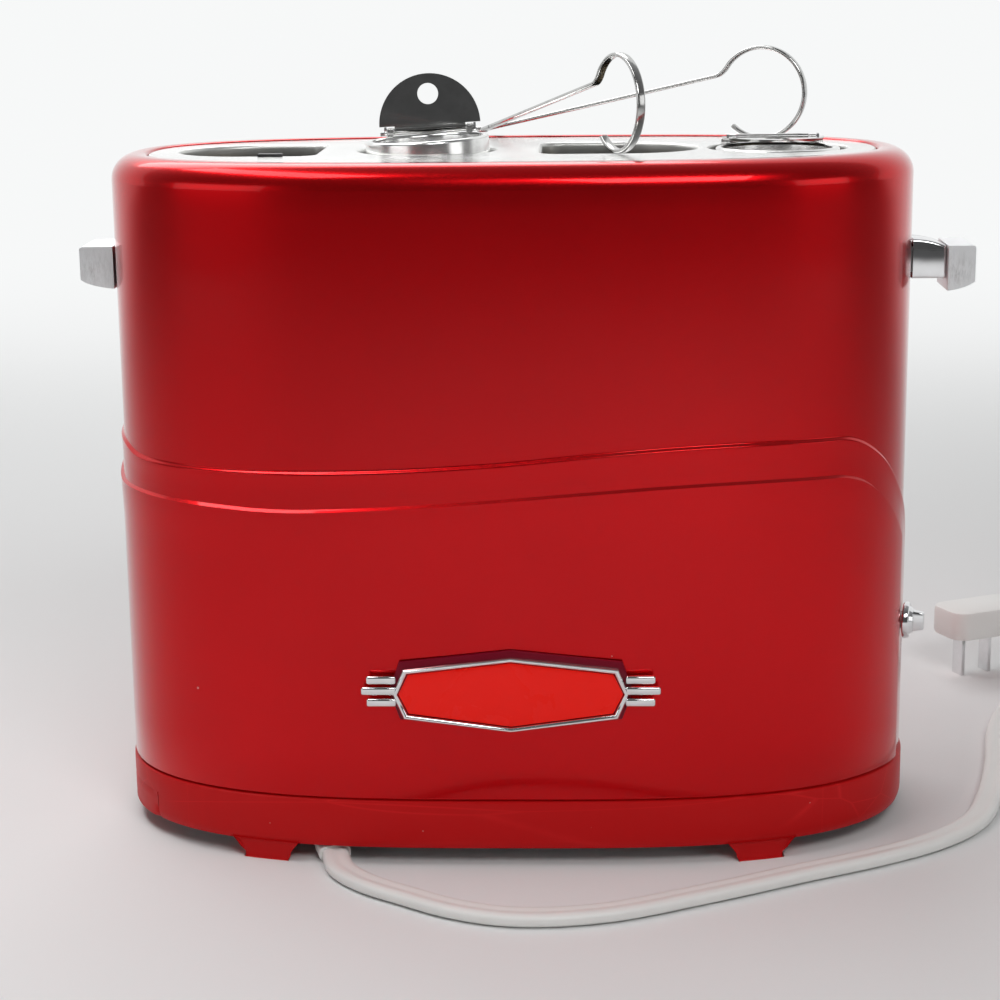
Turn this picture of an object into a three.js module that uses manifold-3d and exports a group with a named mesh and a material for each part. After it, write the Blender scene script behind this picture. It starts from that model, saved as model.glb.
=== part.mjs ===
// An upright hot dog toaster: a rounded pressed shell on a moulded base, two bun wells and two
// lift-out cages, a lever with its carriage, a timer dial, a crumb tray, tongs and a short flat cord.
// Millimetres. +X is the lever's end, +Y the back and +Z up. The floor is at zero height.

import * as THREE from "three";
import { mergeVertices } from "three/addons/utils/BufferGeometryUtils.js";
import Module from "manifold-3d";

const wasm = await Module();
wasm.setup();

// Fits and cuts
const seatGap = 0.3;
const runningGap = 0.6;
const overrun = 6;
const weldShare = 1e-4;

// Plan of the body, a rounded oblong
const bodyHalfLength = 130.5;
const bodyHalfDepth = 64;
const endPowerShare = 3.16;
const sidePowerShare = 2.34;
const columnCount = 27;

// Shell
const rimHeight = 224.7;
const rimRadius = 9.5;
const rimStepCount = 4;
const sheet = 0.8;
const seamHeight = 22.5;
const ledgeDrop = 2.3;
const ledgeWidth = 4;
const bandRise = 1.0;
const bandLip = 0.3;
const bandFade = 6;
const panelRise = 1.4;
const panelLip = 1.2;
const panelFade = 17;
const stepHeight = 0.5;
const bandEndHalfWidth = 10.6;
const panelEndHalfWidth = 23.6;
const edgeWidth = 0.5;

// Heights of the two swoop lines, as shares of the rim height, by shares of the way from the
// middle of the left end round the front to the middle of the right end
const upperLineShares = [
  [0, 0.601],
  [0.071, 0.588],
  [0.108, 0.577],
  [0.159, 0.574],
  [0.274, 0.575],
  [0.389, 0.58],
  [0.491, 0.589],
  [0.572, 0.6],
  [0.656, 0.609],
  [0.739, 0.612],
  [0.816, 0.61],
  [0.834, 0.608],
  [0.856, 0.596],
  [0.887, 0.566],
  [0.915, 0.525],
  [0.955, 0.457],
  [0.968, 0.4],
  [1, 0.4],
];
const lowerLineShares = [
  [0, 0.547],
  [0.055, 0.53],
  [0.11, 0.527],
  [0.215, 0.523],
  [0.277, 0.521],
  [0.334, 0.524],
  [0.447, 0.534],
  [0.571, 0.548],
  [0.654, 0.556],
  [0.736, 0.559],
  [0.812, 0.557],
  [0.829, 0.5545],
  [0.854, 0.542],
  [0.88, 0.515],
  [0.91, 0.472],
  [0.938, 0.42],
  [0.955, 0.39],
  [0.968, 0.345],
  [1, 0.345],
];

// Top plate
const plateInset = 12;
const plateThickness = 1.1;
const plateLip = 4;
const plateLipWall = 0.8;
const slotHalfWidth = 23.5;
const slotCentreY = 3;
const slotCorner = 6;
const slotCurveCount = 10;
const cageHoleRadius = 22.3;

// Stations along the body
const cageOneShare = -0.2107;
const cageTwoMargin = 43.5;
const leftSlotShare = -0.4828;
const rightSlotShare = 0.0766;
const slotTipMargin = 21.5;
const slotTipGap = 3.7;
const cageOneX = cageOneShare * bodyHalfLength;
const cageTwoX = bodyHalfLength - cageTwoMargin;
const leftSlotFlatX = leftSlotShare * bodyHalfLength;
const leftSlotTipX = slotTipMargin - bodyHalfLength;
const rightSlotFlatX = rightSlotShare * bodyHalfLength;
const rightSlotTipX = cageTwoX - cageHoleRadius - slotTipGap;
const leftBoardX = (leftSlotFlatX + cageOneX - cageHoleRadius) / 2;
const middleBoardX = (cageOneX + cageHoleRadius + rightSlotFlatX) / 2;
const rightBoardX = rightSlotTipX + slotTipGap / 2;

// Cages
const cageRadius = 20.25;
const cageWall = 2.6;
const cageHeight = 8.8;
const cageOneRise = 4.3;
const cageTwoRise = 0.5;
const cageTiltDegrees = 3;
const basketLength = 124;
const basketStripWidth = 5;
const basketStripThickness = 1;
const basketStripCount = 4;
const basketHoop = 3;
const roundCount = 20;

// Flaps
const flapRadius = 17;
const flapHeight = 18.3;
const flapSheet = 0.8;
const flapHoleRadius = 3.5;
const flapHoleHeight = 11.6;
const flapShoulder = 2.7;
const flapNeckHalfWidth = 11.9;
const hingeY = 19;
const hingeRise = 1.6;
const barrelRadius = 1.5;
const barrelBoreRadius = 1.05;
const hingePinRadius = 0.7;
const hingePinHeadRadius = 1.3;
const hingePinHead = 0.8;
const earThickness = 2;
const earRadius = 1.7;
const earGap = 0.4;
const hingeCount = 10;

// Base
const footShare = 0.6169;
const screwShare = 0.7663;
const skirtRise = 1.7;
const skirtWall = 2.6;
const skirtChamfer = 0.5;
const skirtTuck = 0.6;
const skirtTuckHeight = 2;
const floorGap = 6;
const skirtLipHeight = 4;
const skirtLipWall = 1.2;
const skirtLipInset = 1.4;
const footX = footShare * bodyHalfLength;
const footTopWidth = 22;
const footBottomWidth = 14;
const footDepth = 9;
const bottomPlateInset = 3.5;
const bottomPlateHeight = 7.2;
const bottomPlateThickness = 1;
const screwX = screwShare * bodyHalfLength;
const screwY = 40.2;
const screwRadius = 1.5;
const screwLength = 8;
const screwHeadRadius = 3.2;
const screwHeadHeight = 1.6;
const bossRadius = 4.5;
const bossHeight = 9;
const bossRib = 2.4;

// Crumb tray
const trayHalfFront = 38;
const trayFrontTop = 15;
const trayHalfWidth = 35;
const trayEndRoom = 26.5;
const trayRightX = bodyHalfLength - trayEndRoom;
const trayWallHeight = 4.5;
const trayWall = 0.8;
const trayFrontWall = 4.7;

// Heating chassis
const chassisEndRoom = 17.5;
const chassisHalfLength = bodyHalfLength - chassisEndRoom;
const chassisFrontY = -28;
const chassisRearY = 30.8;
const chassisBottom = 40;
const chassisSheet = 0.8;
const deckThickness = 1.2;
const deckGrow = 1;
const cupWall = 1;
const channelDepth = 2;
const channelWall = 1.2;
const boardThickness = 1.2;
const boardBottom = 50;
const boardTopGap = 3;
const endBoardInset = 3.3;
const legShare = 0.6743;
const legX = legShare * bodyHalfLength;
const legWidth = 12;
const legReachY = 44;
const legFoot = 5;

// Carriage, rods and rack
const leverTravel = 65;
const rodStandoff = 5.5;
const rodX = chassisHalfLength + rodStandoff;
const rodY = 26;
const rodRadius = 2;
const rodShelfMargin = 3;
const rodShelfReach = rodX + rodShelfMargin;
const rodShelfHalfWidth = 28;
const bushRadius = 3.6;
const carriageBottom = 170;
const carriageTop = 198;
const carriageSheet = 1.4;
const tongueThickness = 3;
const tongueBottom = 183;
const tongueTop = 191;
const tongueShort = 3;
const armLength = 11.5;
const armReach = bodyHalfLength + armLength;
const tongueReach = armReach - tongueShort;
const railGap = 0.8;
const railSheet = 2;
const railHeight = 9;
const shelfHeight = 139;
const shelfThickness = 1.5;
const shelfFrontY = -21;
const shelfTineWidth = 5;
const shelfTinePitch = 14;
const shelfTineCount = 3;
const leftShelfX = (leftSlotFlatX + leftSlotTipX) / 2;
const rightShelfX = (rightSlotFlatX + rightSlotTipX) / 2;
const hangerWidth = 10;
const hangerSlotGap = 1.2;

// Lift spring, latch and electrics
const springOffset = 5.1;
const springX = rodX + springOffset;
const springY = 12;
const springRadius = 2.6;
const springWire = 0.9;
const springTurnCount = 10;
const springStepCount = 8;
const springSideCount = 5;
const springTab = 1;
const springTabHalfWidth = 3.2;
const magnetLength = 12;
const magnetFrontY = 2;
const magnetWidth = 13;
const magnetHeight = 19;
const circuitThickness = 1.6;
const circuitStandoff = 1.2;
const circuitFrontY = -22;
const circuitRearY = -4;
const circuitBottom = 44;
const circuitTop = 100;
const spacerRadius = 2.5;
const spacerInset = 8;

// Lever and handles
const capLength = 8.8;
const capHalfWidth = 11;
const capBottom = 178;
const capTop = 192.7;
const capTuck = 3;
const armHalfWidth = 7;
const armBottom = 181.5;
const armTopInner = 194.5;
const armTopOuter = 192.3;
const handleLength = 11.3;
const handleReach = bodyHalfLength + handleLength;
const handleBottom = 180.5;
const handleTop = 194.3;
const leverSlotHalfWidth = 2.4;
const leverSlotMargin = 2;

// Timer dial
const dialY = 17;
const dialHeight = 68.5;
const dialSeatRise = bandRise + bandLip;
const dialRadius = 6.1;
const dialThickness = 2;
const dialDome = 1.2;
const dialGripReach = 4;
const dialGripHeight = 7;
const dialGripTipHeight = 4.6;
const dialGripWidth = 3;
const shaftRadius = 2.4;
const shaftHoleRadius = 2.9;
const socketGap = 0.3;
const socketDepth = 1.2;
const potRadius = 6.2;
const potLength = 5.5;
const potNoseRadius = 4.2;
const potNoseLength = 2.5;
const potStandoff = 3.6;
const potBoreDepth = 2;

// Badge
const badgeHalfWidth = 37.3;
const badgeShoulder = 34;
const badgeTop = 71;
const badgeBottom = 46.4;
const badgeTopShoulder = 67.2;
const badgeBottomShoulder = 50.8;
const badgeTipHeight = 59;
const badgeRim = 1.5;
const badgeBackingGrow = 1.6;
const badgeBacking = 0.9;
const badgeFrameThickness = 1.6;
const badgeEnamelThickness = 1;
const badgeBarHeight = 2.3;
const badgeBarHeights = [63.4, 60, 56.2];
const badgeBarReaches = [47.3, 47.3, 45.5];

// Tongs
const tongBendX = -12;
const tongBendY = 70;
const tongBendHeight = 225.5;
const tongLength = 104.5;
const tongShoulder = 11.5;
const tongRise = 21.6;
const tongWidth = 2.8;
const tongThickness = 1.3;
const tongLoopRadius = 15;
const tongShoulderRadius = 6;
const tongShoulderDrop = 6.5;
const tongFarDegrees = -23.3;
const tongNearDegrees = -63.5;
const tongHeel = 8.1;
const tongJointGap = 0.4;
const tongBowRadius = 2;
const tongLoopEndDegrees = -132;
const tongLoopStartDegrees = 155;
const tongLoopCount = 20;

// Cord and plug
const cordWidth = 8.8;
const cordThickness = 4.5;
const cordStepCount = 46;
const glandLength = 18;
const glandWideShare = 1.6;
const glandEndShare = 1.2;
const glandHeight = 6;
const glandNeckRadius = 4;
const glandHeadRadius = 7;
const glandHeadHeight = 2.4;
const plugX = 182.4;
const plugY = 140;
const plugYawDegrees = 25.5;
const bladePitch = 12.7;
const bladeThickness = 1.5;
const bladeWidth = 6.35;
const bladeLength = 16.2;
const plugTipReach = 14.5;
const plugHeelReach = 22;
const plugHalfWidth = 10.5;
const plugThickness = 12;
const plugCorner = 6;
const plugRound = 1.6;
const reliefLength = 22;
const reliefStartWidth = 11.5;
const reliefStartHeight = 8.6;
const reliefCentre = 21.5;
// The cord's route, chosen by hand, from the gland to the plug
const cordRoute = [
  [-57.6, -61.6, 2.9],
  [-54.5, -73, 2.45],
  [-46, -84, 2.4],
  [-34, -93, 2.4],
  [-15, -105, 2.4],
  [3, -110, 2.4],
  [28, -107, 2.4],
  [59, -93, 2.4],
  [91, -76, 2.4],
  [118, -62, 2.4],
  [139, -48, 2.4],
  [154, -31, 2.4],
  [163, -8, 2.4],
  [171, 22, 2.4],
  [180, 64, 2.4],
  [191, 90, 2.4],
  [209, 106, 2.4],
  [233, 111, 2.4],
  [262, 109, 2.4],
  [290, 114, 2.4],
  [311, 132, 2.4],
  [319, 158, 2.4],
  [309, 182, 2.4],
  [288, 192, 2.6],
  [268, 183, 7],
  [250.1, 172.3, 15],
  [234.8, 164.9, 20.5],
  [222.8, 159.25, 21.5],
];

// Solids and meshes

function signedVolume(positions, index) {
  const a = new THREE.Vector3();
  const b = new THREE.Vector3();
  const c = new THREE.Vector3();
  let sum = 0;
  for (let i = 0; i < index.length; i += 3) {
    a.fromArray(positions, 3 * index[i]);
    b.fromArray(positions, 3 * index[i + 1]);
    c.fromArray(positions, 3 * index[i + 2]);
    sum += a.dot(b.cross(c));
  }
  return sum;
}

// A closed geometry as a solid, with its faces turned outwards.
function solidOf(geometry) {
  const flat = geometry.index ? geometry.toNonIndexed() : geometry;
  const bare = new THREE.BufferGeometry();
  bare.setAttribute("position", flat.getAttribute("position"));
  const merged = mergeVertices(bare, weldShare);
  const positions = merged.getAttribute("position").array;
  const index = new Uint32Array(merged.index.array);
  if (signedVolume(positions, index) < 0) index.reverse();
  return new wasm.Manifold(new wasm.Mesh({ numProp: 3, vertProperties: positions, triVerts: index }));
}

function join(...solids) {
  return solids.reduce((sum, solid) => sum.add(solid));
}

function cut(solid, ...tools) {
  return tools.reduce((left, tool) => left.subtract(tool), solid);
}

function common(first, second) {
  return first.intersect(second);
}

function block(lowX, highX, lowY, highY, lowZ, highZ) {
  const box = new THREE.BoxGeometry(highX - lowX, highY - lowY, highZ - lowZ);
  box.translate((lowX + highX) / 2, (lowY + highY) / 2, (lowZ + highZ) / 2);
  return solidOf(box);
}

function quarterTurn(geometry) {
  return geometry.rotateX(Math.PI / 2);
}

// A flat outline drawn in plan, between two heights.
function slab(shape, low, high) {
  const plate = new THREE.ExtrudeGeometry(shape, {
    depth: high - low,
    bevelEnabled: false,
    curveSegments: slotCurveCount,
  });
  plate.translate(0, 0, low);
  return solidOf(plate);
}

// An outline drawn in front view, between two depths.
function wall(shape, front, back) {
  const plate = new THREE.ExtrudeGeometry(shape, {
    depth: back - front,
    bevelEnabled: false,
    curveSegments: slotCurveCount,
  });
  quarterTurn(plate);
  plate.translate(0, back, 0);
  return solidOf(plate);
}

// The same, with the upright edges of its two ends rounded by a plan of its own.
function roundedWall(shape, halfWidth, inner, outer, low, high) {
  const plan = new THREE.Shape();
  const way = Math.sign(outer - inner);
  const corner = Math.min(Math.abs(outer - inner), halfWidth) / 3;
  plan.moveTo(inner, -halfWidth);
  plan.lineTo(outer - way * corner, -halfWidth);
  plan.quadraticCurveTo(outer, -halfWidth, outer, -halfWidth + corner);
  plan.lineTo(outer, halfWidth - corner);
  plan.quadraticCurveTo(outer, halfWidth, outer - way * corner, halfWidth);
  plan.lineTo(inner, halfWidth);
  return common(wall(shape, -halfWidth, halfWidth), slab(plan, low, high));
}

// A turned piece about the Z axis, from a closed outline of radius and height.
function turned(outline, count = roundCount) {
  const points = [...outline, outline[0]].map(([radius, height]) => new THREE.Vector2(radius, height));
  return solidOf(quarterTurn(new THREE.LatheGeometry(points, count)));
}

// A round bar between two points.
function bar(radius, from, to, count = hingeCount) {
  const start = new THREE.Vector3(...from);
  const along = new THREE.Vector3(...to).sub(start);
  const rod = new THREE.CylinderGeometry(radius, radius, along.length(), count);
  rod.translate(0, along.length() / 2, 0);
  const turn = new THREE.Quaternion().setFromUnitVectors(new THREE.Vector3(0, 1, 0), along.normalize());
  rod.applyQuaternion(turn);
  rod.translate(start.x, start.y, start.z);
  return solidOf(rod);
}

// A skin over rows of points that all have the same count. The rows close on themselves, or
// end in flat caps.
function skinned(rows, closed) {
  const count = rows[0].length;
  const positions = [];
  rows.forEach((row) => row.forEach((point) => positions.push(point.x, point.y, point.z)));
  const index = [];
  const rowCount = closed ? rows.length : rows.length - 1;
  for (let r = 0; r < rowCount; r += 1) {
    const next = (r + 1) % rows.length;
    for (let k = 0; k < count; k += 1) {
      const side = (k + 1) % count;
      index.push(r * count + k, r * count + side, next * count + side);
      index.push(r * count + k, next * count + side, next * count + k);
    }
  }
  if (!closed) {
    [0, rows.length - 1].forEach((r, end) => {
      const middle = rows[r].reduce((sum, point) => sum.clone().add(point)).divideScalar(count);
      const centre = positions.length / 3;
      positions.push(middle.x, middle.y, middle.z);
      for (let k = 0; k < count; k += 1) {
        const side = (k + 1) % count;
        if (end) index.push(centre, r * count + k, r * count + side);
        else index.push(centre, r * count + side, r * count + k);
      }
    });
  }
  const geometry = new THREE.BufferGeometry();
  geometry.setAttribute("position", new THREE.Float32BufferAttribute(positions, 3));
  geometry.setIndex(index);
  return solidOf(geometry);
}

function material(color, roughness, metalness) {
  return new THREE.MeshStandardMaterial({ color, roughness, metalness });
}

const redShell = material(0x9c0a10, 0.25, 0.6);
const redPlastic = material(0xa01018, 0.5, 0);
const chrome = material(0xd9dbdd, 0.12, 1);
const steel = material(0xb9bcbf, 0.35, 1);
const darkPlastic = material(0x1b1b1d, 0.5, 0);
const whitePlastic = material(0xeeeeea, 0.5, 0);
const enamel = material(0xd01418, 0.3, 0);
const maroon = material(0x5c0508, 0.4, 0);
const mica = material(0xb9a887, 0.8, 0);
const circuitGreen = material(0x2c5a35, 0.6, 0);

function piece(parent, name, solid, look) {
  const data = solid.getMesh();
  const geometry = new THREE.BufferGeometry();
  geometry.setAttribute("position", new THREE.BufferAttribute(data.vertProperties, 3));
  geometry.setIndex(new THREE.BufferAttribute(data.triVerts, 1));
  geometry.computeVertexNormals();
  const mesh = new THREE.Mesh(geometry, look);
  mesh.name = name;
  parent.add(mesh);
  return mesh;
}

// Plan of the body

function planPoint(angle, offset) {
  const c = Math.cos(angle);
  const s = Math.sin(angle);
  const x = (bodyHalfLength + offset) * Math.sign(c) * Math.abs(c) ** (2 / endPowerShare);
  const y = (bodyHalfDepth + offset) * Math.sign(s) * Math.abs(s) ** (2 / sidePowerShare);
  return new THREE.Vector2(x, y);
}

// The angle at each small step along the front half of the outline, by share of its length.
function measureFront() {
  const stepCount = 4000;
  const steps = [];
  let before = planPoint(Math.PI, 0);
  let length = 0;
  for (let i = 0; i <= stepCount; i += 1) {
    const angle = Math.PI * (1 + i / stepCount);
    const point = planPoint(angle, 0);
    length += point.distanceTo(before);
    steps.push({ angle, length, point });
    before = point;
  }
  return { steps, length };
}

const front = measureFront();

function angleAt(share) {
  return front.steps.find((step) => step.length >= share * front.length - weldShare).angle;
}

// The share at which the outline comes within a half width of the middle of the right end.
function endShare(halfWidth) {
  const step = front.steps.find((each) => each.point.x > 0 && Math.abs(each.point.y) < halfWidth);
  return step.length / front.length;
}

// The columns of points that every skin of the body is laid on, once round from the left end.
function bodyColumns() {
  const edgeShare = edgeWidth / front.length;
  const shares = new Set();
  for (let k = 0; k <= columnCount; k += 1) shares.add(k / columnCount);
  [bandEndHalfWidth, panelEndHalfWidth].forEach((halfWidth) => {
    shares.add(endShare(halfWidth));
    shares.add(endShare(halfWidth) - edgeShare);
  });
  const sorted = [...shares].sort((a, b) => a - b);
  const frontHalf = sorted.map((share) => ({ share, angle: angleAt(share), side: 1 }));
  const backHalf = frontHalf.slice(1, -1).map((column) => ({ ...column, side: -1 }));
  return [...frontHalf, ...backHalf.reverse()];
}

const columns = bodyColumns();

// How far the outline lies from the middle plane at one place along the body.
function bodyDepthAt(x, offset) {
  const share = Math.abs(x) / (bodyHalfLength + offset);
  return (bodyHalfDepth + offset) * (1 - share ** endPowerShare) ** (1 / sidePowerShare);
}

function bodyPoint(column, offset, height) {
  const point = planPoint(column.angle, offset);
  return new THREE.Vector3(point.x, column.side * point.y, height);
}

// One row of the body, at one offset and height.
function bodyRow(offset, height) {
  return columns.map((column) => bodyPoint(column, offset, height));
}

// A closed band round the body, from a closed outline of offsets and heights.
function bodyBand(outline) {
  return skinned(outline.map(([offset, height]) => bodyRow(offset, height)), true);
}

function bodyOutline(offset) {
  return new THREE.Shape(columns.map((column) => {
    const point = bodyPoint(column, offset, 0);
    return new THREE.Vector2(point.x, point.y);
  }));
}

// Outer shell

// A smooth value at a share, through the points of a table.
function follow(table, share) {
  const last = table.length - 1;
  let i = 0;
  while (i < last - 1 && share > table[i + 1][0]) i += 1;
  const slope = (k) => {
    const before = table[Math.max(k - 1, 0)];
    const after = table[Math.min(k + 1, last)];
    return (after[1] - before[1]) / (after[0] - before[0]);
  };
  const width = table[i + 1][0] - table[i][0];
  const t = (share - table[i][0]) / width;
  const start = table[i][1] * (1 + 2 * t) * (1 - t) ** 2 + slope(i) * width * t * (1 - t) ** 2;
  const end = table[i + 1][1] * t ** 2 * (3 - 2 * t) + slope(i + 1) * width * t ** 2 * (t - 1);
  return start + end;
}

function fading(distance, length) {
  return Math.max(0, 1 - distance / length);
}

const bandEnd = endShare(bandEndHalfWidth);
const panelEnd = endShare(panelEndHalfWidth);

// How far the pressed steps stand out of the plain wall.
function pressedRise(column, height, upper, lower) {
  const panelSide = (panelEnd - column.share) * front.length;
  const bandSide = (bandEnd - column.share) * front.length;
  if (column.share < panelEnd && height <= lower) {
    return panelRise + panelLip * fading(Math.min(lower - height, panelSide), panelFade);
  }
  if (column.share < bandEnd && height <= upper) {
    return bandRise + bandLip * fading(Math.min(upper - height, bandSide), bandFade);
  }
  return 0;
}

// The heights of the rows below the rolled rim, for one column.
function wallHeights(column) {
  const upper = follow(upperLineShares, column.share) * rimHeight;
  const lower = follow(lowerLineShares, column.share) * rimHeight;
  const rimStart = rimHeight - rimRadius;
  return {
    upper,
    lower,
    levels: [
      seamHeight,
      lower - panelFade,
      lower - panelFade / 3,
      lower,
      lower + stepHeight,
      upper - bandFade,
      upper,
      upper + stepHeight,
      rimStart,
    ],
  };
}

function shellRows() {
  const heights = columns.map(wallHeights);
  const rows = [];
  const addWall = (depth) => {
    const order = heights[0].levels.map((height, i) => i);
    if (depth > 0) order.reverse();
    order.forEach((i) => {
      rows.push(columns.map((column, k) => {
        const { upper, lower, levels } = heights[k];
        const height = levels[i];
        const rise = pressedRise(column, height, upper, lower);
        return bodyPoint(column, rise - depth, height);
      }));
    });
  };
  const addRoll = (radius, from, to) => {
    for (let i = 1; i <= rimStepCount; i += 1) {
      const angle = (from + ((to - from) * i) / rimStepCount) * (Math.PI / 2);
      const offset = radius * Math.cos(angle) - rimRadius;
      rows.push(bodyRow(offset, rimHeight - rimRadius + radius * Math.sin(angle)));
    }
  };
  const ledge = rimHeight - ledgeDrop;
  const innerRadius = rimRadius - sheet;
  addWall(0);
  addRoll(rimRadius, 0, 1);
  rows.push(bodyRow(-(rimRadius + plateInset) / 2, rimHeight - ledgeDrop / 6));
  rows.push(bodyRow(seatGap - plateInset, ledge));
  rows.push(bodyRow(-plateInset - ledgeWidth, ledge));
  rows.push(bodyRow(-plateInset - ledgeWidth, ledge - sheet));
  rows.push(bodyRow(-plateInset, ledge - sheet));
  addRoll(innerRadius, 1, 0);
  rows.pop();
  addWall(sheet);
  return rows;
}

// The point of the plain right wall where the dial sits, and the way that wall faces there.
function dialSeat() {
  const step = front.steps.find((each) => each.point.x > 0 && Math.abs(each.point.y) < dialY);
  const { x, y } = planPoint(step.angle, dialSeatRise);
  const lengthTerm = endPowerShare / bodyHalfLength * (x / bodyHalfLength) ** (endPowerShare - 1);
  const depthTerm = sidePowerShare / bodyHalfDepth * (-y / bodyHalfDepth) ** (sidePowerShare - 1);
  const outwards = new THREE.Vector3(lengthTerm, -depthTerm, 0).normalize();
  return { centre: new THREE.Vector3(x, y, dialHeight), outwards };
}

const seat = dialSeat();

function onDialAxis(distance) {
  return seat.centre.clone().addScaledVector(seat.outwards, distance).toArray();
}

function outerShell() {
  const skin = skinned(shellRows(), true);
  const slot = block(
    bodyHalfLength - overrun, bodyHalfLength + overrun, -leverSlotHalfWidth, leverSlotHalfWidth,
    tongueBottom - leverTravel - leverSlotMargin, tongueTop + leverSlotMargin);
  const hole = bar(shaftHoleRadius, onDialAxis(-overrun), onDialAxis(overrun));
  return cut(skin, slot, hole);
}

// Top plate

// The outline of a bun opening: straight at one end and round at the other.
function bunOutline(flatX, tipX, grow) {
  const way = Math.sign(tipX - flatX);
  const flat = flatX - way * grow;
  const half = slotHalfWidth + grow;
  const corner = slotCorner + grow;
  const roundX = tipX - way * slotHalfWidth;
  const shape = new THREE.Shape();
  shape.moveTo(flat, slotCentreY - half + corner);
  shape.quadraticCurveTo(flat, slotCentreY - half, flat + way * corner, slotCentreY - half);
  shape.lineTo(roundX, slotCentreY - half);
  shape.absarc(roundX, slotCentreY, half, -Math.PI / 2, Math.PI / 2, way < 0);
  shape.lineTo(flat + way * corner, slotCentreY + half);
  shape.quadraticCurveTo(flat, slotCentreY + half, flat, slotCentreY + half - corner);
  return shape;
}

function roundOutline(x, radius) {
  return new THREE.Shape().absarc(x, 0, radius, 0, 2 * Math.PI);
}

const plateTop = rimHeight - ledgeDrop + seatGap + plateThickness;
const plateUnderside = plateTop - plateThickness;

function plateOpenings(grow) {
  return [
    bunOutline(leftSlotFlatX, leftSlotTipX, grow),
    bunOutline(rightSlotFlatX, rightSlotTipX, grow),
    roundOutline(cageOneX, cageHoleRadius + grow),
    roundOutline(cageTwoX, cageHoleRadius + grow),
  ];
}

function topPlate() {
  const sheetPiece = slab(bodyOutline(-plateInset), plateUnderside, plateTop);
  const lips = plateOpenings(plateLipWall).map((shape) =>
    slab(shape, plateUnderside - plateLip, plateUnderside + plateThickness / 2));
  const holes = plateOpenings(0).map((shape) =>
    slab(shape, plateUnderside - plateLip - overrun, plateTop + overrun));
  return cut(join(sheetPiece, ...lips), ...holes);
}

// Cages

const cageTilt = THREE.MathUtils.degToRad(cageTiltDegrees);
const tiltDrop = cageRadius * Math.sin(cageTilt);
const cageOneTop = plateTop + cageOneRise;
const cageTwoTop = plateTop + cageTwoRise;
const deckTop = cageOneTop - cageHeight - tiltDrop - seatGap;
const cupTop = cageTwoTop - cageHeight - seatGap;

// A cage about its own axis, with the top of its collar at zero.
function cage() {
  const inner = cageRadius - cageWall;
  const lip = cageWall / 3;
  const collar = turned([
    [inner, -cageHeight],
    [cageRadius, -cageHeight],
    [cageRadius, -lip],
    [cageRadius - lip, 0],
    [inner + lip, 0],
    [inner, -lip],
  ]);
  const bottom = -cageHeight - basketLength;
  const hoop = turned([
    [inner - basketStripThickness, bottom],
    [inner + basketStripThickness / 4, bottom],
    [inner + basketStripThickness / 4, bottom + basketHoop],
    [inner - basketStripThickness, bottom + basketHoop],
  ]);
  const strips = [];
  for (let k = 0; k < basketStripCount; k += 1) {
    const strip = new THREE.BoxGeometry(basketStripThickness, basketStripWidth, basketLength + cageHeight / 2);
    strip.translate(inner - basketStripThickness / 4, 0, bottom + (basketLength + cageHeight / 2) / 2);
    strip.rotateZ(((k + 1 / 2) * 2 * Math.PI) / basketStripCount);
    strips.push(solidOf(strip));
  }
  const floors = [0, 1].map((k) => {
    const cross = new THREE.BoxGeometry(2 * inner - basketStripThickness, basketStripWidth, basketStripThickness);
    cross.translate(0, 0, bottom + basketStripThickness / 2);
    cross.rotateZ(Math.PI / 4 + (k * Math.PI) / 2);
    return solidOf(cross);
  });
  return join(collar, hoop, ...strips, ...floors, ...[-1, 1].map(hingeEar));
}

// One ear that holds the flap's pin, fixed to the back of the collar.
function hingeEar(side) {
  const inside = side * (flapNeckHalfWidth + earGap);
  const outside = side * (flapNeckHalfWidth + earGap + earThickness);
  const low = Math.min(inside, outside);
  const high = Math.max(inside, outside);
  const rootY = Math.sqrt((cageRadius - cageWall) ** 2 - flapNeckHalfWidth ** 2);
  const inner = block(low, high, rootY - earGap, rootY + cageWall, -cageWall, hingeRise - earRadius / 2);
  const arm = block(low, high, rootY, hingeY + earRadius, -seatGap / 2, hingeRise - earRadius / 2);
  const eye = bar(earRadius, [low, hingeY, hingeRise], [high, hingeY, hingeRise]);
  const bore = bar(barrelBoreRadius, [low - overrun, hingeY, hingeRise], [high + overrun, hingeY, hingeRise]);
  return cut(join(inner, arm, eye), bore);
}

// A flap about its pin, standing up.
function flap() {
  const shape = new THREE.Shape();
  shape.moveTo(-flapNeckHalfWidth, 0);
  shape.lineTo(-flapNeckHalfWidth, flapShoulder);
  shape.lineTo(-flapRadius, flapShoulder);
  shape.absellipse(0, flapShoulder, flapRadius, flapHeight - flapShoulder, Math.PI, 0, true);
  shape.lineTo(flapNeckHalfWidth, flapShoulder);
  shape.lineTo(flapNeckHalfWidth, 0);
  const leaf = wall(shape, -flapSheet / 2, flapSheet / 2);
  const barrel = bar(barrelRadius, [-flapNeckHalfWidth, 0, 0], [flapNeckHalfWidth, 0, 0]);
  const bore = bar(barrelBoreRadius, [-flapRadius, 0, 0], [flapRadius, 0, 0]);
  const hole = bar(flapHoleRadius, [0, -overrun, flapHoleHeight], [0, overrun, flapHoleHeight], roundCount);
  return cut(join(leaf, barrel), bore, hole);
}

function flapPin() {
  const reach = flapNeckHalfWidth + earGap + earThickness + seatGap;
  const shank = bar(hingePinRadius, [-reach, 0, 0], [reach, 0, 0], hingeCount / 2);
  const heads = [-1, 1].map((side) =>
    bar(hingePinHeadRadius, [side * reach, 0, 0], [side * (reach + hingePinHead), 0, 0]));
  return join(shank, ...heads);
}

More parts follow.
